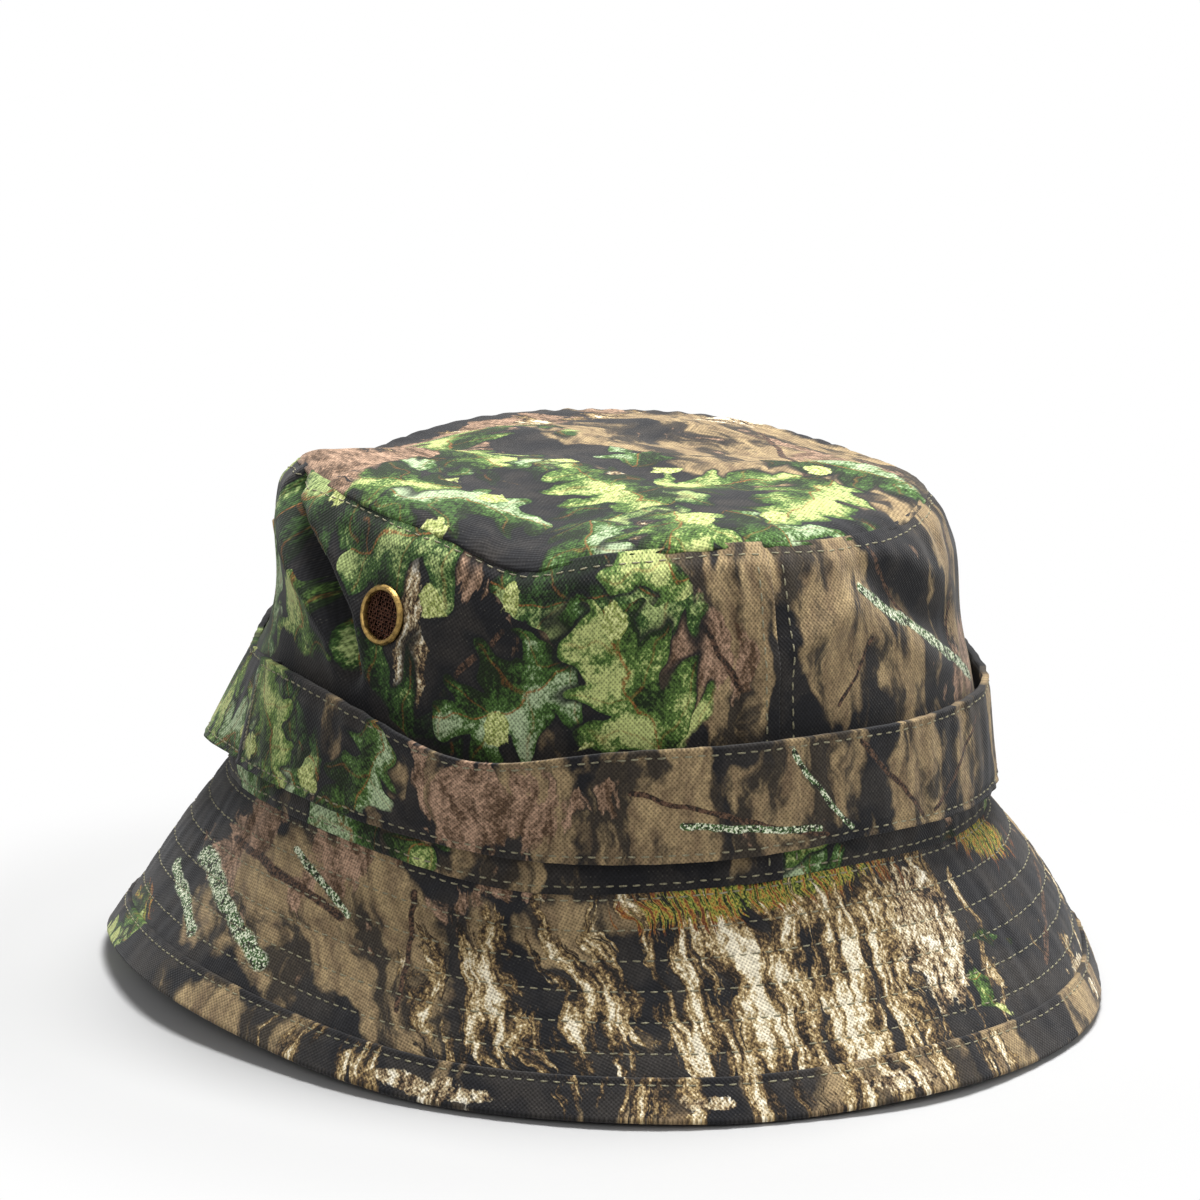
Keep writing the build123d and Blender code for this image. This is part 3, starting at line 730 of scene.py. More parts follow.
# Plain dyed cotton with a fine diagonal or upright rib
def plainCloth(name, deep, pale, pitch, slant=1.0, strength=0.5):
    material, add = startMaterial(name)
    place = clothPlace(add, (0, 0))
    math = partial(add, "Math")
    parts = add("SeparateXYZ", place)
    diagonal = math(parts.outputs[0], slant, parts.outputs[1], operation="MULTIPLY_ADD")
    rib = math(math(math(diagonal, 2 * pi / pitch, operation="MULTIPLY"), operation="SINE"), 0.5, 0.5,
               operation="MULTIPLY_ADD")
    cloud = add("TexNoise", place, noise_dimensions="2D", Scale=0.06, Detail=4.0)
    tone = math(rib, 0.6, math(cloud, 0.4, operation="MULTIPLY"), operation="MULTIPLY_ADD")
    colour = add("Mix", tone, paint(deep), paint(pale), data_type="RGBA")
    bump = add("Bump", Strength=strength, Distance=0.00015, Height=rib)
    shader = add("BsdfPrincipled", Base_Color=colour, Roughness=0.9, IOR=1.45, Normal=bump)
    shader.inputs["Specular IOR Level"].default_value = 0.25
    add("OutputMaterial", shader)
    return material


# Twisted cotton thread, olive grey and a little paler than the print
def cottonThread():
    material, add = startMaterial("cottonThreadTwisted")
    place = add("VectorMath", add("TexCoord").outputs["Object"], operation="SCALE", Scale=1000.0)
    fleck = add("TexNoise", place, Scale=2.2, Detail=2.0)
    colour = add("Mix", add("MapRange", fleck, 0.35, 0.65, 0.0, 1.0), paint("#5f5b49"), paint("#8f8a70"),
                 data_type="RGBA")
    shader = add("BsdfPrincipled", Base_Color=colour, Roughness=0.75, IOR=1.45)
    add("OutputMaterial", shader)
    return material


# Brass that has darkened in blotches and is dull in the dark ones
def agedBrass(name, deep, pale, rough):
    material, add = startMaterial(name)
    place = add("VectorMath", add("TexCoord").outputs["Object"], operation="SCALE", Scale=1000.0)
    cloud = add("TexNoise", place, Scale=0.9, Detail=5.0, Roughness=0.7)
    colour = add("Mix", add("MapRange", cloud, 0.35, 0.65, 0.0, 1.0), paint(deep), paint(pale),
                 data_type="RGBA")
    bump = add("Bump", Strength=0.25, Distance=0.0001, Height=cloud)
    shader = add("BsdfPrincipled", Base_Color=colour, Metallic=1.0, Normal=bump,
                 Roughness=add("MapRange", cloud, 0.3, 0.7, rough, rough + 0.25))
    add("OutputMaterial", shader)
    return material


# Patterns on the flat cloth


def wallPattern(turn, rise):
    return np.stack([turn * crown["perDegree"], rise + 0 * turn], -1)


def tipPattern(turn, share):
    x, y = wallBase(turn, crown["height"] + 0 * turn, 0)
    return np.stack([x * (1 - share), y * (1 - share)], -1)


def brimPattern(turn, share):
    radius = brim["unrolledRadius"] + share * brim["length"]
    angle = np.radians(turn) * brim["unrolledShare"]
    return np.stack([radius * np.sin(angle), -radius * np.cos(angle)], -1)


def bandPattern(turn, height):
    return np.stack([turn * band["perDegree"], height + 0 * turn], -1)


# Crown

print("sewing the crown")
wallStops = np.concatenate([np.linspace(0, 8, 15), np.linspace(8.9, 66, 58), np.linspace(66.7, 74, 15)])
ventHoles = [(turn, vents["rise"], vents["clear"], vents["perDegree"]) for turn in vents["turns"]]


# How far the lap's own thickness lifts the cloth beside its edge
def lapOut(turn, edgeTurn):
    inward = -((turn - edgeTurn + 180) % 360 - 180) * crown["perDegree"]
    beyond = ease(inward, crown["lapWidth"], crown["lapWidth"] + crown["lapStep"])
    return (cloth["ply"] + cloth["gap"]) * (1 - beyond) * (inward > -1e-6)


wallRegions = {
    "right": {
        "leafy": ((-93, 64, 24, 15, 1.1), (-50, 60, 32, 18, 1.2), (-40, 42, 22, 12, 0.9),
                  (-120, 50, 20, 20, 0.7), (-155, 55, 22, 16, 0.8),
                  (-104, 4, 22, 6, 1.1), (-75, 3, 30, 5, 0.7), (-140, 20, 40, 10, 0.6)),
        "tan": ((-16, 60, 16, 16, 1.0), (-19, 50, 12, 10, 0.5), (-72, 3, 24, 5, 1.1), (-45, 3, 22, 6, 0.5),
                (-170, 50, 22, 25, 0.9)),
        "blush": ((-58, 69, 6, 5, 1.0), (-19, 51, 12, 7, 1.0), (-93, 73, 14, 4, 0.7),
                  (-150, 60, 20, 14, 0.8)),
        "cream": ((-69, 66, 5, 8, 1.0), (-65, 44, 4, 10, 1.0), (-172, 60, 10, 6, 0.8)),
        "bark": ((-150, 30, 20, 20, 0.6),),
    },
    "left": {
        "leafy": ((10, 5, 34, 6, 0.9), (95, 60, 24, 14, 0.9), (130, 45, 24, 16, 0.9), (60, 5, 24, 6, 0.5)),
        "tan": ((6, 58, 16, 18, 1.1), (40, 50, 22, 22, 0.9), (73, 42, 18, 22, 0.9), (160, 50, 26, 22, 1.0)),
        "blush": ((44, 36, 12, 8, 0.9), (80, 60, 14, 12, 0.8), (140, 66, 20, 10, 0.8)),
        "cream": ((110, 62, 8, 5, 0.7),),
        "bark": ((70, 60, 18, 12, 0.7),),
    },
}
crownLook = {
    "shift": (0, 0), "tanFrom": 0.64, "tanTurn": 35, "tanDark": "#736049", "tanLight": "#a8926c",
    "grainTurn": 32, "barkTurn": 20,
    "twigs": (((-45, 74), (-22, 44), 0.9), ((-100, 38), (-84, 60), 0.8)),
    "lichen": (((-215, 40), (-190, 66), 1.4),),
    "leafShine": ("#a3b273", "#aebf98", "#bcc47e"), "grassTurn": 10,
    "leaves": ((58, 2.3, "#131d10", "#3c5a2a"), (48, 7.9, "#18240f", "#47682f"),
               (52, 13.4, "#1b2912", "#587637")),
}
leftLook = dict(crownLook, shift=(23, 61), tanTurn=-25, grainTurn=-22,
                twigs=(((48, 132), (66, 110), 0.8), ((84, 96), (98, 128), 0.7), ((30, 98), (44, 112), 0.6)),
                lichen=(((41, 124), (103, 93), 1.6),))
sideCanvas = {"right": printedCanvas("printedCottonCanvasCrown", crownLook),
              "left": printedCanvas("printedCottonCanvasCrownLeft", leftLook)}
lapTurn = crown["lapWidth"] / crown["perDegree"]
for side, start, end in (("right", crown["backTurn"] - 360 - lapTurn, crown["seamTurn"]),
                         ("left", crown["seamTurn"] - lapTurn, crown["backTurn"])):

    def outerFace(turn, rise, edgeTurn=end):
        return lapOut(turn, edgeTurn)

    def innerFace(turn, rise, edgeTurn=end):
        return lapOut(turn, edgeTurn) - cloth["ply"]

    stops = np.unique(np.concatenate([np.linspace(start, end, 330), np.linspace(end - 8, end, 30)]))
    holes = [hole for hole in ventHoles if start < hole[0] < end]
    piece = clothPiece("crownSide" + side.title(), wallPoint, stops, wallStops, (outerFace, innerFace),
                       wallPattern, holes=holes, regions=wallRegions[side])
    piece.data.materials.append(sideCanvas[side])
    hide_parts("crown_side_" + side)
tipStops = np.concatenate([np.linspace(0, 0.12, 12), np.linspace(0.14, 0.97, 50), [1.0]])
tip = clothPiece("crownTip", tipPoint, np.linspace(-180, 180, 361)[:-1], tipStops, (0.0, -cloth["ply"]),
                 tipPattern, wrap=True, pole=True,
                 regions={
                     "leafy": ((-66, 0.2, 18, 18, 1.0), (-40, 0.35, 30, 26, 1.0), (-60, 0.55, 20, 20, 0.6),
                               (14, 0.45, 26, 22, 0.9), (20, 0.12, 20, 18, 0.8), (-160, 0.5, 20, 20, 0.7)),
                     "tan": ((44, 0.12, 18, 20, 1.0), (80, 0.2, 26, 26, 0.9), (100, 0.5, 24, 24, 0.6),
                             (170, 0.4, 30, 18, 0.7)),
                     "blush": ((-100, 0.12, 20, 22, 1.0), (-140, 0.25, 26, 16, 1.0), (175, 0.3, 30, 8, 0.8),
                               (70, 0.35, 10, 22, 0.6)),
                     "cream": ((-28, 0.62, 7, 12, 0.9), (-26, 0.2, 8, 16, 1.0), (115, 0.1, 12, 8, 0.8)),
                     "bark": ((165, 0.35, 40, 10, 0.9), (-120, 0.45, 14, 22, 0.8), (-30, 0.4, 10, 30, 0.5)),
                 })
tipLook = dict(crownLook, shift=(31, 17), barkTurn=-62, grainTurn=-30, lichen=(),
               twigs=(((-10, -40), (40, -66), 0.9), ((60, -30), (84, 30), 0.8)),
               leaves=((56, 5.1, "#131d10", "#3c5a2a"), (50, 1.6, "#18240f", "#47682f"),
                       (46, 9.2, "#1b2912", "#587637")))
tip.data.materials.append(printedCanvas("printedCottonCanvasTip", tipLook))
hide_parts("crown_tip")

thread = cottonThread()


def finishThread(piece, *nodes):
    piece.data.materials.append(thread)
    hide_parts(*nodes)


# A row of stitches round the crown, which climbs over both laps
def levelRow(rise):
    def curveAt(turn, out):
        step = np.maximum(lapOut(turn, crown["seamTurn"]), lapOut(turn, crown["backTurn"]))
        return wallPoint(turn, rise + 0 * turn, out + step)
    return stitchRun(curveAt, -180, 180, 0.02)


def uprightRow(turn, out, low, high):
    def curveAt(rise, extra):
        return wallPoint(turn + 0 * rise, rise, out + extra)
    return stitchRun(curveAt, low, high, 0.02)


finishThread(stitches("tipTopstitching", [levelRow(crown["height"] - 2.2)], seed=2), "tip_topstitching")
finishThread(stitches("crownBaseStitching", [levelRow(1.8)], seed=3), "crown_base_stitching")
lapFace = cloth["ply"] + cloth["gap"]
lapRows = []
for edgeTurn in (crown["seamTurn"], crown["backTurn"]):
    lapRows.append(uprightRow(edgeTurn - 3.6 / crown["perDegree"], lapFace, 3, crown["height"] - 4))
    lapRows.append(uprightRow(edgeTurn + 4.2 / crown["perDegree"], 0, 3, crown["height"] - 4))
finishThread(stitches("lapSeamStitching", lapRows, seed=4), "lap_seam_stitching")

# Foliage band

print("sewing the band")
bandLook = dict(crownLook, shift=(12, 96), tanFrom=0.62, tanTurn=60, grainTurn=-20, barkTurn=14,
                twigs=(((-38, 112), (10, 98), 0.7), ((22, 118), (44, 98), 0.8), ((48, 99), (74, 116), 0.6)),
                lichen=(((-26, 104), (8, 100), 0.9), ((2, 118), (18, 98), 0.9)),
                leaves=((50, 21.3, "#131d10", "#3c5a2a"), (44, 17.7, "#18240f", "#4d6c32"),
                        (40, 3.8, "#1b2912", "#65823c")))
bandCanvas = printedCanvas("printedCottonCanvasBand", bandLook)
bandStops = np.concatenate([np.linspace(0, 4, 8), np.linspace(5, 20.4, 12), np.linspace(21.4, 25.4, 8)])
endTurn = band["endTurn"]
bandRegions = {
    "foliageBandFront": {
        "leafy": ((-92, 14, 26, 16, 1.2), (-72, 18, 12, 9, 0.6)),
        "tan": ((-30, 10, 30, 14, 0.9), (20, 14, 34, 14, 0.9), (70, 12, 30, 14, 0.7), (-58, 16, 8, 8, 0.7)),
        "blush": ((-50, 12, 14, 11, 1.1), (60, 10, 12, 10, 0.7)),
    },
    "foliageBandRear": {
        "leafy": ((244, 14, 22, 16, 1.2), (150, 12, 30, 14, 0.8)),
        "tan": ((195, 12, 30, 14, 0.9), (115, 12, 24, 14, 0.7)),
        "blush": ((170, 10, 20, 10, 0.8),),
    },
}
for name, start, end, front in (
        ("foliageBandFront", -endTurn, endTurn, True),
        ("foliageBandRear", endTurn - band["overlap"], 360 - endTurn + band["overlap"], False)):
    piece = clothPiece(name, partial(bandPoint, front=front), np.linspace(start, end, 300), bandStops,
                       (cloth["bandPly"], 0.0), bandPattern, regions=bandRegions[name])
    piece.data.materials.append(bandCanvas)
    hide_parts("foliage_band_front" if front else "foliage_band_rear")


def bandRow(start, end, height, front):
    def curveAt(turn, out):
        return bandPoint(turn, height + 0 * turn, out, front)
    return stitchRun(curveAt, start, end, cloth["bandPly"] + 0.02)


def bandUpright(turn, front, low, high, pitch=3.0):
    def curveAt(height, out):
        return bandPoint(turn + 0 * height, height, out, front)
    return stitchRun(curveAt, low, high, cloth["bandPly"] + 0.02, pitch)


rowHeights = (band["row"], band["height"] - band["row"])
bandRuns = [bandRow(-endTurn + 1, endTurn - 1, height, True) for height in rowHeights]
bandRuns += [bandRow(endTurn + 1, 359 - endTurn, height, False) for height in rowHeights]
finishThread(stitches("foliageBandStitching", bandRuns, seed=5), "foliage_band_stitching")
tacks = [bandUpright(turn, front, 3.6, band["height"] - 3.6, 1.3)
         for turn, front in ((-endTurn + 1.7, True), (endTurn - 1.7, True), (180.0, False))]
finishThread(stitches("foliageBandTacks", tacks, length=1.5, thick=0.34, seed=6), "foliage_band_tacks")

# Brim

print("quilting the brim")
brimLook = dict(crownLook, shift=(0, 0), tanFrom=0.7, tanTurn=8, grainTurn=14, barkTurn=8,
                twigs=(((-150, -110), (-120, -150), 1.3), ((-98, -150), (-110, -178), 0.9),
                       ((90, -170), (70, -200), 0.9)),
                lichen=(((-163, -106), (-146, -152), 3.0), ((-175, -100), (-166, -132), 2.0),
                        ((-128, -128), (-118, -150), 1.0)),
                leaves=((46, 31.3, "#131d10", "#3c5a2a"), (40, 27.7, "#18240f", "#47682f"),
                        (34, 33.8, "#1b2912", "#587637")))
brimRegions = {
    "leafy": ((27, 0.66, 14, 9, 1.1), (-114, 0.9, 10, 10, 0.9), (-150, 0.5, 20, 20, 0.8),
              (120, 0.5, 24, 20, 0.8), (160, 0.5, 20, 20, 0.5)),
    "tan": ((-85, 0.35, 24, 18, 1.1), (-60, 0.5, 24, 24, 1.0), (-125, 0.4, 20, 20, 0.6),
            (-34, 0.1, 24, 8, 0.8), (80, 0.5, 30, 24, 0.7), (180, 0.5, 40, 24, 0.8)),
    "bark": ((-48, 0.55, 22, 26, 0.85), (-15, 0.45, 30, 30, 1.0), (10, 0.5, 26, 30, 0.8),
             (60, 0.6, 30, 30, 0.7), (140, 0.5, 30, 30, 0.8), (-160, 0.5, 30, 30, 0.8)),
    "blush": ((-95, 0.15, 14, 10, 1.0), (-72, 0.08, 22, 6, 0.9), (-50, 0.05, 20, 4, 0.6),
              (130, 0.3, 20, 14, 0.8)),
    "cream": ((15, 0.35, 10, 16, 0.95), (44, 0.85, 9, 7, 0.8), (100, 0.4, 10, 14, 0.8)),
    "grass": ((-10, 0.0, 34, 7, 0.8), (-112, 0.85, 8, 11, 1.0), (40, 0.05, 14, 7, 0.7),
              (-150, 0.3, 16, 12, 0.8)),
}
brimCanvas = printedCanvas("printedCottonCanvasBrim", brimLook)
brimTurns = np.linspace(-180, 180, 541)
brimEnd = 1 - 1.0 / brim["length"]                     # 1 mm short of the edge, inside the binding
brimStops = np.linspace(0, brimEnd, 84)
lowerFace = -brim["stack"] * brim["plyPerLevel"]
buckram = plainCloth("buckramInterliningWoven", "#b8ad93", "#d8d0bb", 1.2)
layers = {
    "brimUpper": (brimStops, 0.0, -cloth["ply"], brimCanvas, "brim_cloth", "brim_upper"),
    "brimInterlining": (np.linspace(0, brimEnd, 12), -cloth["ply"] - cloth["gap"],
                        lowerFace + cloth["ply"] + cloth["gap"], buckram, "interlining", "brim_interlining"),
    "brimLower": (np.linspace(0, brimEnd, 60), lowerFace + cloth["ply"], lowerFace,
                  brimCanvas, "brim_cloth", "brim_lower"),
}
for name, (stops, outFace, inFace, material, slot, node) in layers.items():
    regions = brimRegions if material is brimCanvas else None
    piece = clothPiece(name, brimPoint, brimTurns, stops, (outFace, inFace), brimPattern, regions=regions)
    piece.data.materials.append(material)
    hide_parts(node)


# The binding runs down over the brim, round its edge and back up underneath
def hemPoint(turn, along, out=0.0):
    outFace = cloth["gap"] + cloth["ply"] + out
    inFace = lowerFace - cloth["gap"] - cloth["ply"] - out
    fold = (outFace - inFace) / 2
    middle = (outFace + inFace) / 2
    down = brim["hem"] - 0.4
    flatLength = down - fold
    outsideAt = np.clip(along / flatLength, 0, 1)
    insideAt = np.clip((along - flatLength - 1) / flatLength, 0, 1)
    angle = np.clip(along - flatLength, 0, 1) * pi
    distance = brim["length"] - brim["hem"] + flatLength * (outsideAt - insideAt) + fold * np.sin(angle)
    return brimPoint(turn, distance / brim["length"], middle + fold * np.cos(angle))


flatLength = brim["hem"] - 0.4 - (-lowerFace + 2 * cloth["gap"] + 2 * cloth["ply"]) / 2
hemStops = np.concatenate([np.linspace(0, flatLength, 18), flatLength + np.linspace(0.08, 0.92, 11),
                           np.linspace(flatLength + 1, 2 * flatLength + 1, 14)])
hemLook = dict(brimLook, shift=(57, 41), tanFrom=0.62, tanTurn=20, barkTurn=30, grainTurn=24, twigs=(),
               lichen=())
hem = clothPiece("brimBinding", hemPoint, brimTurns, hemStops, (0.0, -cloth["ply"]),
                 lambda turn, along: np.stack([turn * brim["edgePerDegree"], along + 0 * turn], -1),
                 regions={
                     "leafy": ((-113, 2, 12, 9, 0.8), (90, 6, 30, 10, 0.7), (-160, 6, 30, 10, 0.8)),
                     "tan": ((-80, 6, 18, 10, 0.9), (0, 6, 26, 10, 0.8), (44, 4, 14, 8, 1.0),
                             (150, 6, 40, 10, 0.7), (-60, 14, 400, 6, 0.3)),
                     "bark": ((-65, 6, 20, 10, 0.9), (-25, 6, 22, 10, 0.9), (5, 5, 26, 10, 1.1),
                              (60, 6, 30, 10, 0.6)),
                     "cream": ((-52, 7, 14, 3, 0.75), (-22, 6, 10, 3, 0.55), (1, 6, 12, 3, 0.7),
                               (44, 6, 8, 3, 0.7)),
                 })
hem.data.materials.append(printedCanvas("printedCottonCanvasHem", hemLook))
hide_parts("brim_binding")


def brimRow(distance, out, flip):
    def curveAt(turn, extra):
        return brimPoint(turn, distance / brim["length"] + 0 * turn, out + (-extra if flip else extra))
    return stitchRun(curveAt, -180, 180, 0.02)


quilting = [brimRow(row, 0.0, False) for row in brim["rows"]]
quilting += [brimRow(row, lowerFace, True) for row in brim["rows"]]
finishThread(stitches("brimQuilting", quilting, seed=7), "brim_quilting")
hemRow = brim["length"] - brim["hem"] + brim["hemRow"]
hemFace = cloth["gap"] + cloth["ply"]
hemRuns = [brimRow(hemRow, hemFace, False), brimRow(hemRow, lowerFace - hemFace, True)]
finishThread(stitches("brimBindingStitching", hemRuns, seed=8), "brim_binding_stitching")

# Inside

print("lining the crown")
liningTwill = plainCloth("cottonTwillSweatband", "#2b2926", "#4a463f", 1.0)
sweatbandIn = -cloth["ply"] - cloth["gap"]
sweatband = clothPiece("sweatband", wallPoint, np.linspace(-180, 180, 361), np.linspace(0.2, 30, 26),
                       (sweatbandIn, sweatbandIn - cloth["sweatbandPly"]), wallPattern)
sweatband.data.materials.append(liningTwill)
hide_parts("sweatband")
tape = clothPiece("tipSeamTape", wallPoint, np.linspace(-180, 180, 361), np.linspace(65, 73.6, 8),
                  (sweatbandIn, sweatbandIn - cloth["tapePly"]), wallPattern)
tape.data.materials.append(plainCloth("cottonBiasTape", "#33312c", "#57534a", 0.9, -1.0))
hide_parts("tip_seam_tape")
sweatbandFace = sweatbandIn - cloth["sweatbandPly"]
labelHalf = (labelHigh.x - labelLow.x) / mm / 2
labelTurn = degrees(labelHalf / (crown["halfWidth"] * 0.92))
labelStops = (7.0, 25.0)
labelFace = sweatbandFace - cloth["gap"] - cloth["labelPly"]
label = clothPiece("careLabel", wallPoint, np.linspace(180 - labelTurn, 180 + labelTurn, 40),
                   np.linspace(*labelStops, 20),
                   (sweatbandFace - cloth["gap"], labelFace), wallPattern)
label.data.materials.append(plainCloth("cottonLabelTape", "#d9d4c6", "#efece3", 0.8, 0.0, 0.25))
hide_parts("care_label")


def insideRow(rise, start, end, face):
    return stitchRun(lambda turn, out: wallPoint(turn, rise + 0 * turn, face - out), start, end, 0.02)


def insideUpright(turn, low, high, face):
    return stitchRun(lambda rise, out: wallPoint(turn + 0 * rise, rise, face - out), low, high, 0.02)


finishThread(stitches("sweatbandStitching", [insideRow(3.0, -180, 180, sweatbandFace)], seed=9),
             "sweatband_stitching")
labelInset = 1.5
turns = (180 - labelTurn + labelInset / crown["perDegree"], 180 + labelTurn - labelInset / crown["perDegree"])
rises = (labelStops[0] + labelInset, labelStops[1] - labelInset)
labelRuns = [insideRow(rise, *turns, labelFace) for rise in rises]
labelRuns += [insideUpright(turn, *rises, labelFace) for turn in turns]
finishThread(stitches("careLabelStitching", labelRuns, length=1.6, thick=0.2, seed=10),
             "care_label_stitching")

# Vents

print("setting the vents")


def clearSelection():
    if bpy.context.object and bpy.context.object.mode != "OBJECT":
        bpy.ops.object.mode_set(mode="OBJECT")
    bpy.ops.object.select_all(action="DESELECT")


# An outline of (radius, height) pairs swept round the vertical axis
def turnedRing(name, outline):
    clearSelection()
    radius, height = outline[0]
    bpy.ops.mesh.primitive_circle_add(vertices=72, radius=radius * mm, location=(0, 0, height * mm))
    ring = bpy.context.object
    ring.name = name
    bpy.ops.object.transform_apply(location=True)
    bpy.ops.object.mode_set(mode="EDIT")
    for nextRadius, nextHeight in outline[1:] + outline[:1]:
        bpy.ops.mesh.extrude_region_move(TRANSFORM_OT_translate={"value": (0, 0, (nextHeight - height) * mm)})
        bpy.ops.transform.resize(value=(nextRadius / radius, nextRadius / radius, 1),
                                 center_override=(0, 0, nextHeight * mm))
        radius, height = nextRadius, nextHeight
    bpy.ops.mesh.select_all(action="SELECT")
    bpy.ops.mesh.remove_doubles(threshold=0.00001)
    bpy.ops.mesh.normals_make_consistent(inside=False)
    bpy.ops.object.mode_set(mode="OBJECT")
    bpy.ops.object.shade_smooth_by_angle(angle=radians(35))
    return ring


# Fine wires that pass over and under each other, cut to a disc
def wovenDisc(name, radius, pitch, wire):
    clearSelection()
    wires = []
    count = int(radius / pitch)
    for flip in (0, 1):
        for i in range(-count, count + 1):
            half = (radius ** 2 - (i * pitch) ** 2) ** 0.5
            steps = max(2, int(2 * half / (pitch / 2)))
            bpy.ops.mesh.primitive_circle_add(vertices=5, radius=wire * mm, rotation=(0, pi / 2, 0),
                                              fill_type="NGON")
            piece = bpy.context.object
            bpy.ops.object.transform_apply(rotation=True)
            bpy.ops.object.mode_set(mode="EDIT")
            step = 2 * half / steps
            start = (i + flip) * pi
            waves = [wire * 0.9 * sin((k * step - half) * pi / pitch + start) for k in range(steps + 1)]
            for low, high in zip(waves, waves[1:]):
                onward = (step * mm, 0, (high - low) * mm)
                bpy.ops.mesh.extrude_region_move(TRANSFORM_OT_translate={"value": onward})
            bpy.ops.object.mode_set(mode="OBJECT")
            place = Matrix.Translation((-half * mm, i * pitch * mm, 0))
            piece.data.transform(Matrix.Rotation(flip * pi / 2, 4, "Z") @ place)
            wires.append(piece)
    clearSelection()
    for piece in wires:
        piece.select_set(True)
    bpy.context.view_layer.objects.active = wires[0]
    bpy.ops.object.join()
    disc = bpy.context.object
    disc.name = name
    cleanMesh(disc)
    bpy.ops.object.shade_smooth()
    return disc


# Seats a vent on the cloth around its hole, facing outward
def ventPlace(turn, depth=0.0):
    at, step = np.array([turn, vents["rise"]]), 2.0
    around = wallPoint(at[0] + step, at[1], 0.0) - wallPoint(at[0] - step, at[1], 0.0)
    above = wallPoint(at[0], at[1] + 4, 0.0) - wallPoint(at[0], at[1] - 4, 0.0)
    ring = [wallPoint(at[0] + 4.5 * cos(a), at[1] + 7 * sin(a), 0.0) for a in np.linspace(0, 2 * pi, 24)]
    around, above = Vector(around).normalized(), Vector(above).normalized()
    outward = around.cross(above).normalized()
    above = outward.cross(around)
    centre = Vector(np.mean(ring, axis=0))
    front = max((Vector(point) - centre).dot(outward) for point in ring)
    origin = centre + outward * (front * 0.6 + depth)
    return Matrix.Translation(origin * mm) @ Matrix((around, above, outward)).transposed().to_4x4()


# Copies a model to all four vents and joins the copies
def setEverywhere(model, depth):
    copies = []
    for turn in vents["turns"]:
        copy = model.copy()
        copy.data = model.data.copy()
        bpy.context.scene.collection.objects.link(copy)
        copy.data.transform(ventPlace(turn, depth))
        copies.append(copy)
    bpy.data.objects.remove(model)
    clearSelection()
    for copy in copies:
        copy.select_set(True)
    bpy.context.view_layer.objects.active = copies[0]
    bpy.ops.object.join()
    return bpy.context.object


bore, rim = vents["bore"], vents["rim"]
flange = [(bore, 0.3), (bore + 0.15, 0.75), (bore + 0.5, 1.0), (bore + 0.9, 0.98), (rim - 0.2, 0.6),
          (rim, 0.2), (rim, 0.05), (bore + 0.5, 0.0), (bore + 0.5, -2.2), (bore + 0.9, -2.5),
          (bore + 0.8, -2.9), (bore + 0.2, -2.95), (bore, -2.6)]
eyelets = setEverywhere(turnedRing("ventEyelets", flange), 0.0)
eyelets.name = "ventEyelets"
brass = agedBrass("agedBrassPressed", "#5d4a2a", "#a78a52", 0.3)
eyelets.data.materials.append(brass)
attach(eyelets, "root")
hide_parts("vent_eyelets")
washer = [(bore + 0.6, -1.7), (7.7, -1.7), (7.8, -1.9), (7.7, -2.1), (bore + 0.6, -2.1)]
washers = setEverywhere(turnedRing("ventWashers", washer), 0.0)
washers.name = "ventWashers"
washers.data.materials.append(brass)
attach(washers, "root")
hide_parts("vent_washers")
screens = setEverywhere(wovenDisc("ventScreens", bore + 0.1, 0.8, 0.17), -0.5)
screens.name = "ventScreens"
screens.data.materials.append(agedBrass("brassWireMeshWoven", "#2c1c17", "#5d4033", 0.45))
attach(screens, "root")
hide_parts("vent_screens")
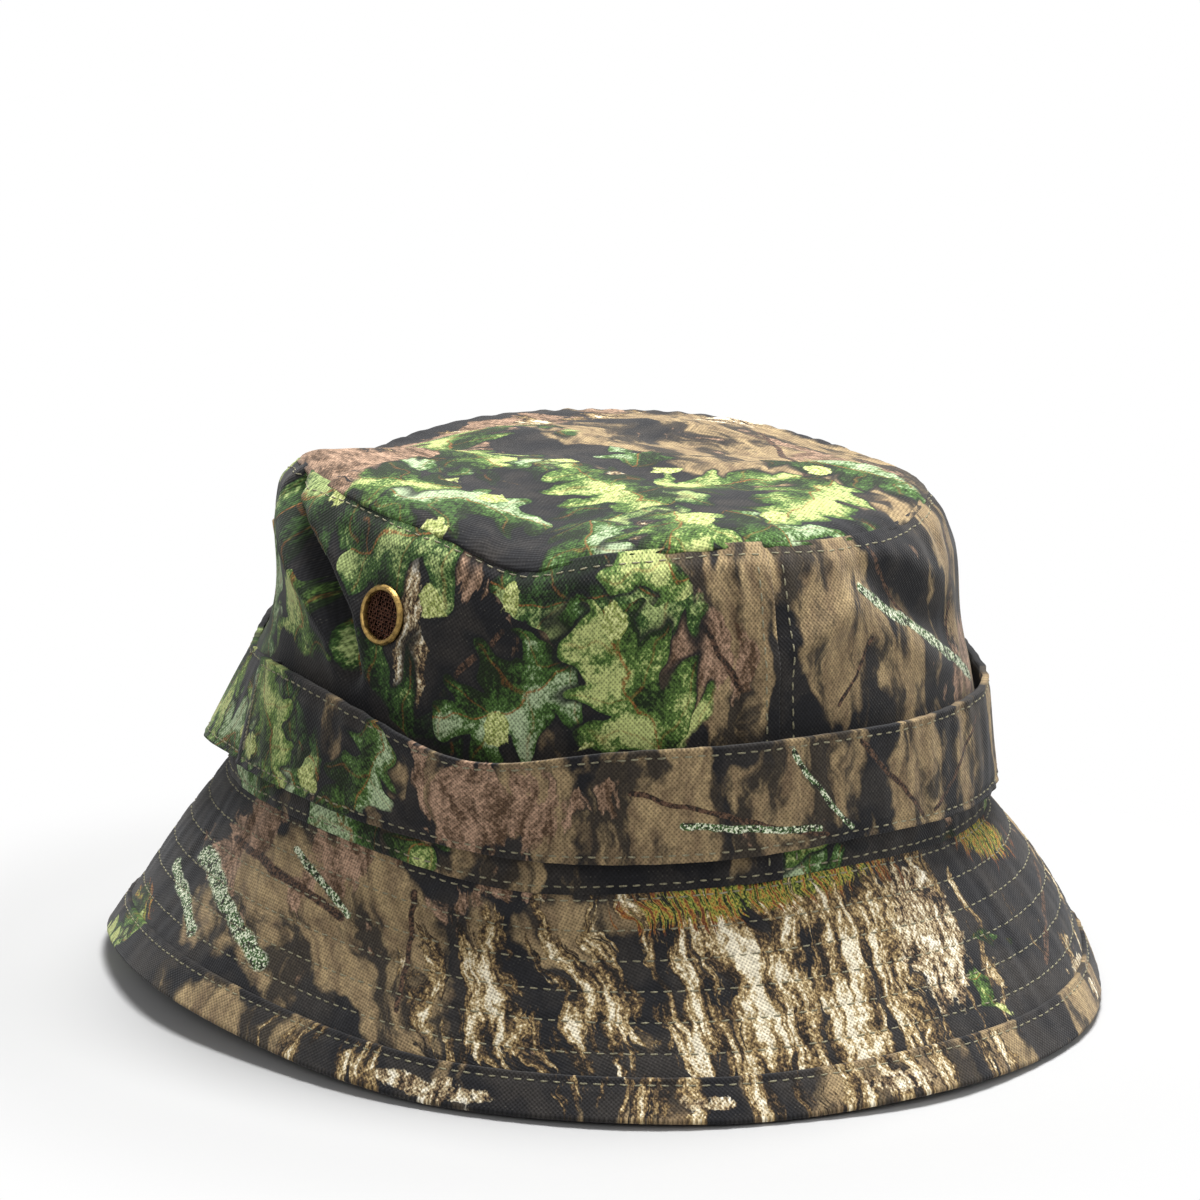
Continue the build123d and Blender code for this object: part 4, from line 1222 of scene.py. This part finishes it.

# Studio

print("lighting the studio")
clearSelection()
bpy.ops.mesh.primitive_plane_add(size=8, location=(0, 0, 0))
floor = bpy.context.object
floor.name = "floor"
bpy.ops.object.mode_set(mode="EDIT")
bpy.ops.mesh.subdivide(number_cuts=4)
bpy.ops.object.mode_set(mode="OBJECT")
paper, add = startMaterial("seamlessPaperMatte")
seen = add("LightPath")
straight = add("Math", seen.outputs["Is Glossy Ray"], seen.outputs["Is Transmission Ray"],
               operation="MAXIMUM")
straight = add("Math", seen.outputs["Is Camera Ray"], straight, operation="MAXIMUM")
matte = add("BsdfPrincipled", Base_Color=paint("#a9a9a9"), Roughness=0.9)
matte.inputs["Specular IOR Level"].default_value = 0.1
blank = add("Emission", paint("#ffffff"), 1.0)
fromHat = add("VectorMath", add("TexCoord").outputs["Object"], operation="LENGTH").outputs["Value"]
faded = add("MapRange", fromHat, 0.15, 0.21, 0.0, 1.0, interpolation_type="SMOOTHSTEP")
faded = add("Math", straight, faded, operation="MULTIPLY")
add("OutputMaterial", add("MixShader", faded, matte, blank))
floor.data.materials.append(paper)

world = bpy.data.worlds.new("studio")
bpy.context.scene.world = world
world.use_nodes = True
world.node_tree.nodes.clear()
add = partial(addNode, world.node_tree)
seen = add("LightPath")
straight = add("Math", seen.outputs["Is Glossy Ray"], seen.outputs["Is Transmission Ray"],
               operation="MAXIMUM")
straight = add("Math", seen.outputs["Is Camera Ray"], straight, operation="MAXIMUM")
sky = add("Background", paint("#ffffff"), 0.27)
backdrop = add("Background", paint("#ffffff"), 1.0)
add("OutputWorld", add("MixShader", straight, sky, backdrop))

lamps = {
    "overhead": ((0.2, 0.08, 1.1), (0.5, 0.5), 27.0),
    "frontLeft": ((-1.0, -0.9, 0.75), (0.6, 0.6), 6.0),
    "frontRight": ((0.9, -0.9, 0.6), (0.6, 0.6), 6.5),
}
hatMiddle = Vector((0, 0, 0.06))
for name, (spot, size, power) in lamps.items():
    lamp = bpy.data.lights.new(name, "AREA")
    lamp.shape = "RECTANGLE"
    lamp.size, lamp.size_y = size
    lamp.energy = power
    holder = bpy.data.objects.new(name, lamp)
    holder.location = spot
    holder.rotation_mode = "QUATERNION"
    holder.rotation_quaternion = (hatMiddle - Vector(spot)).to_track_quat("-Z", "Y")
    bpy.context.scene.collection.objects.link(holder)

camera = bpy.data.objects.new("camera", bpy.data.cameras.new("camera"))
cameraTurn = radians(-29.7)
lookAt = Vector((0, 0, 0.090))
camera.location = (sin(cameraTurn), -cos(cameraTurn), 0.302)
camera.rotation_mode = "QUATERNION"
camera.rotation_quaternion = (lookAt - camera.location).to_track_quat("-Z", "Y")
camera.data.lens = 126.2
camera.data.sensor_width = 36
bpy.context.scene.collection.objects.link(camera)
bpy.context.scene.camera = camera
bpy.context.scene.view_settings.view_transform = "Standard"

print("done")
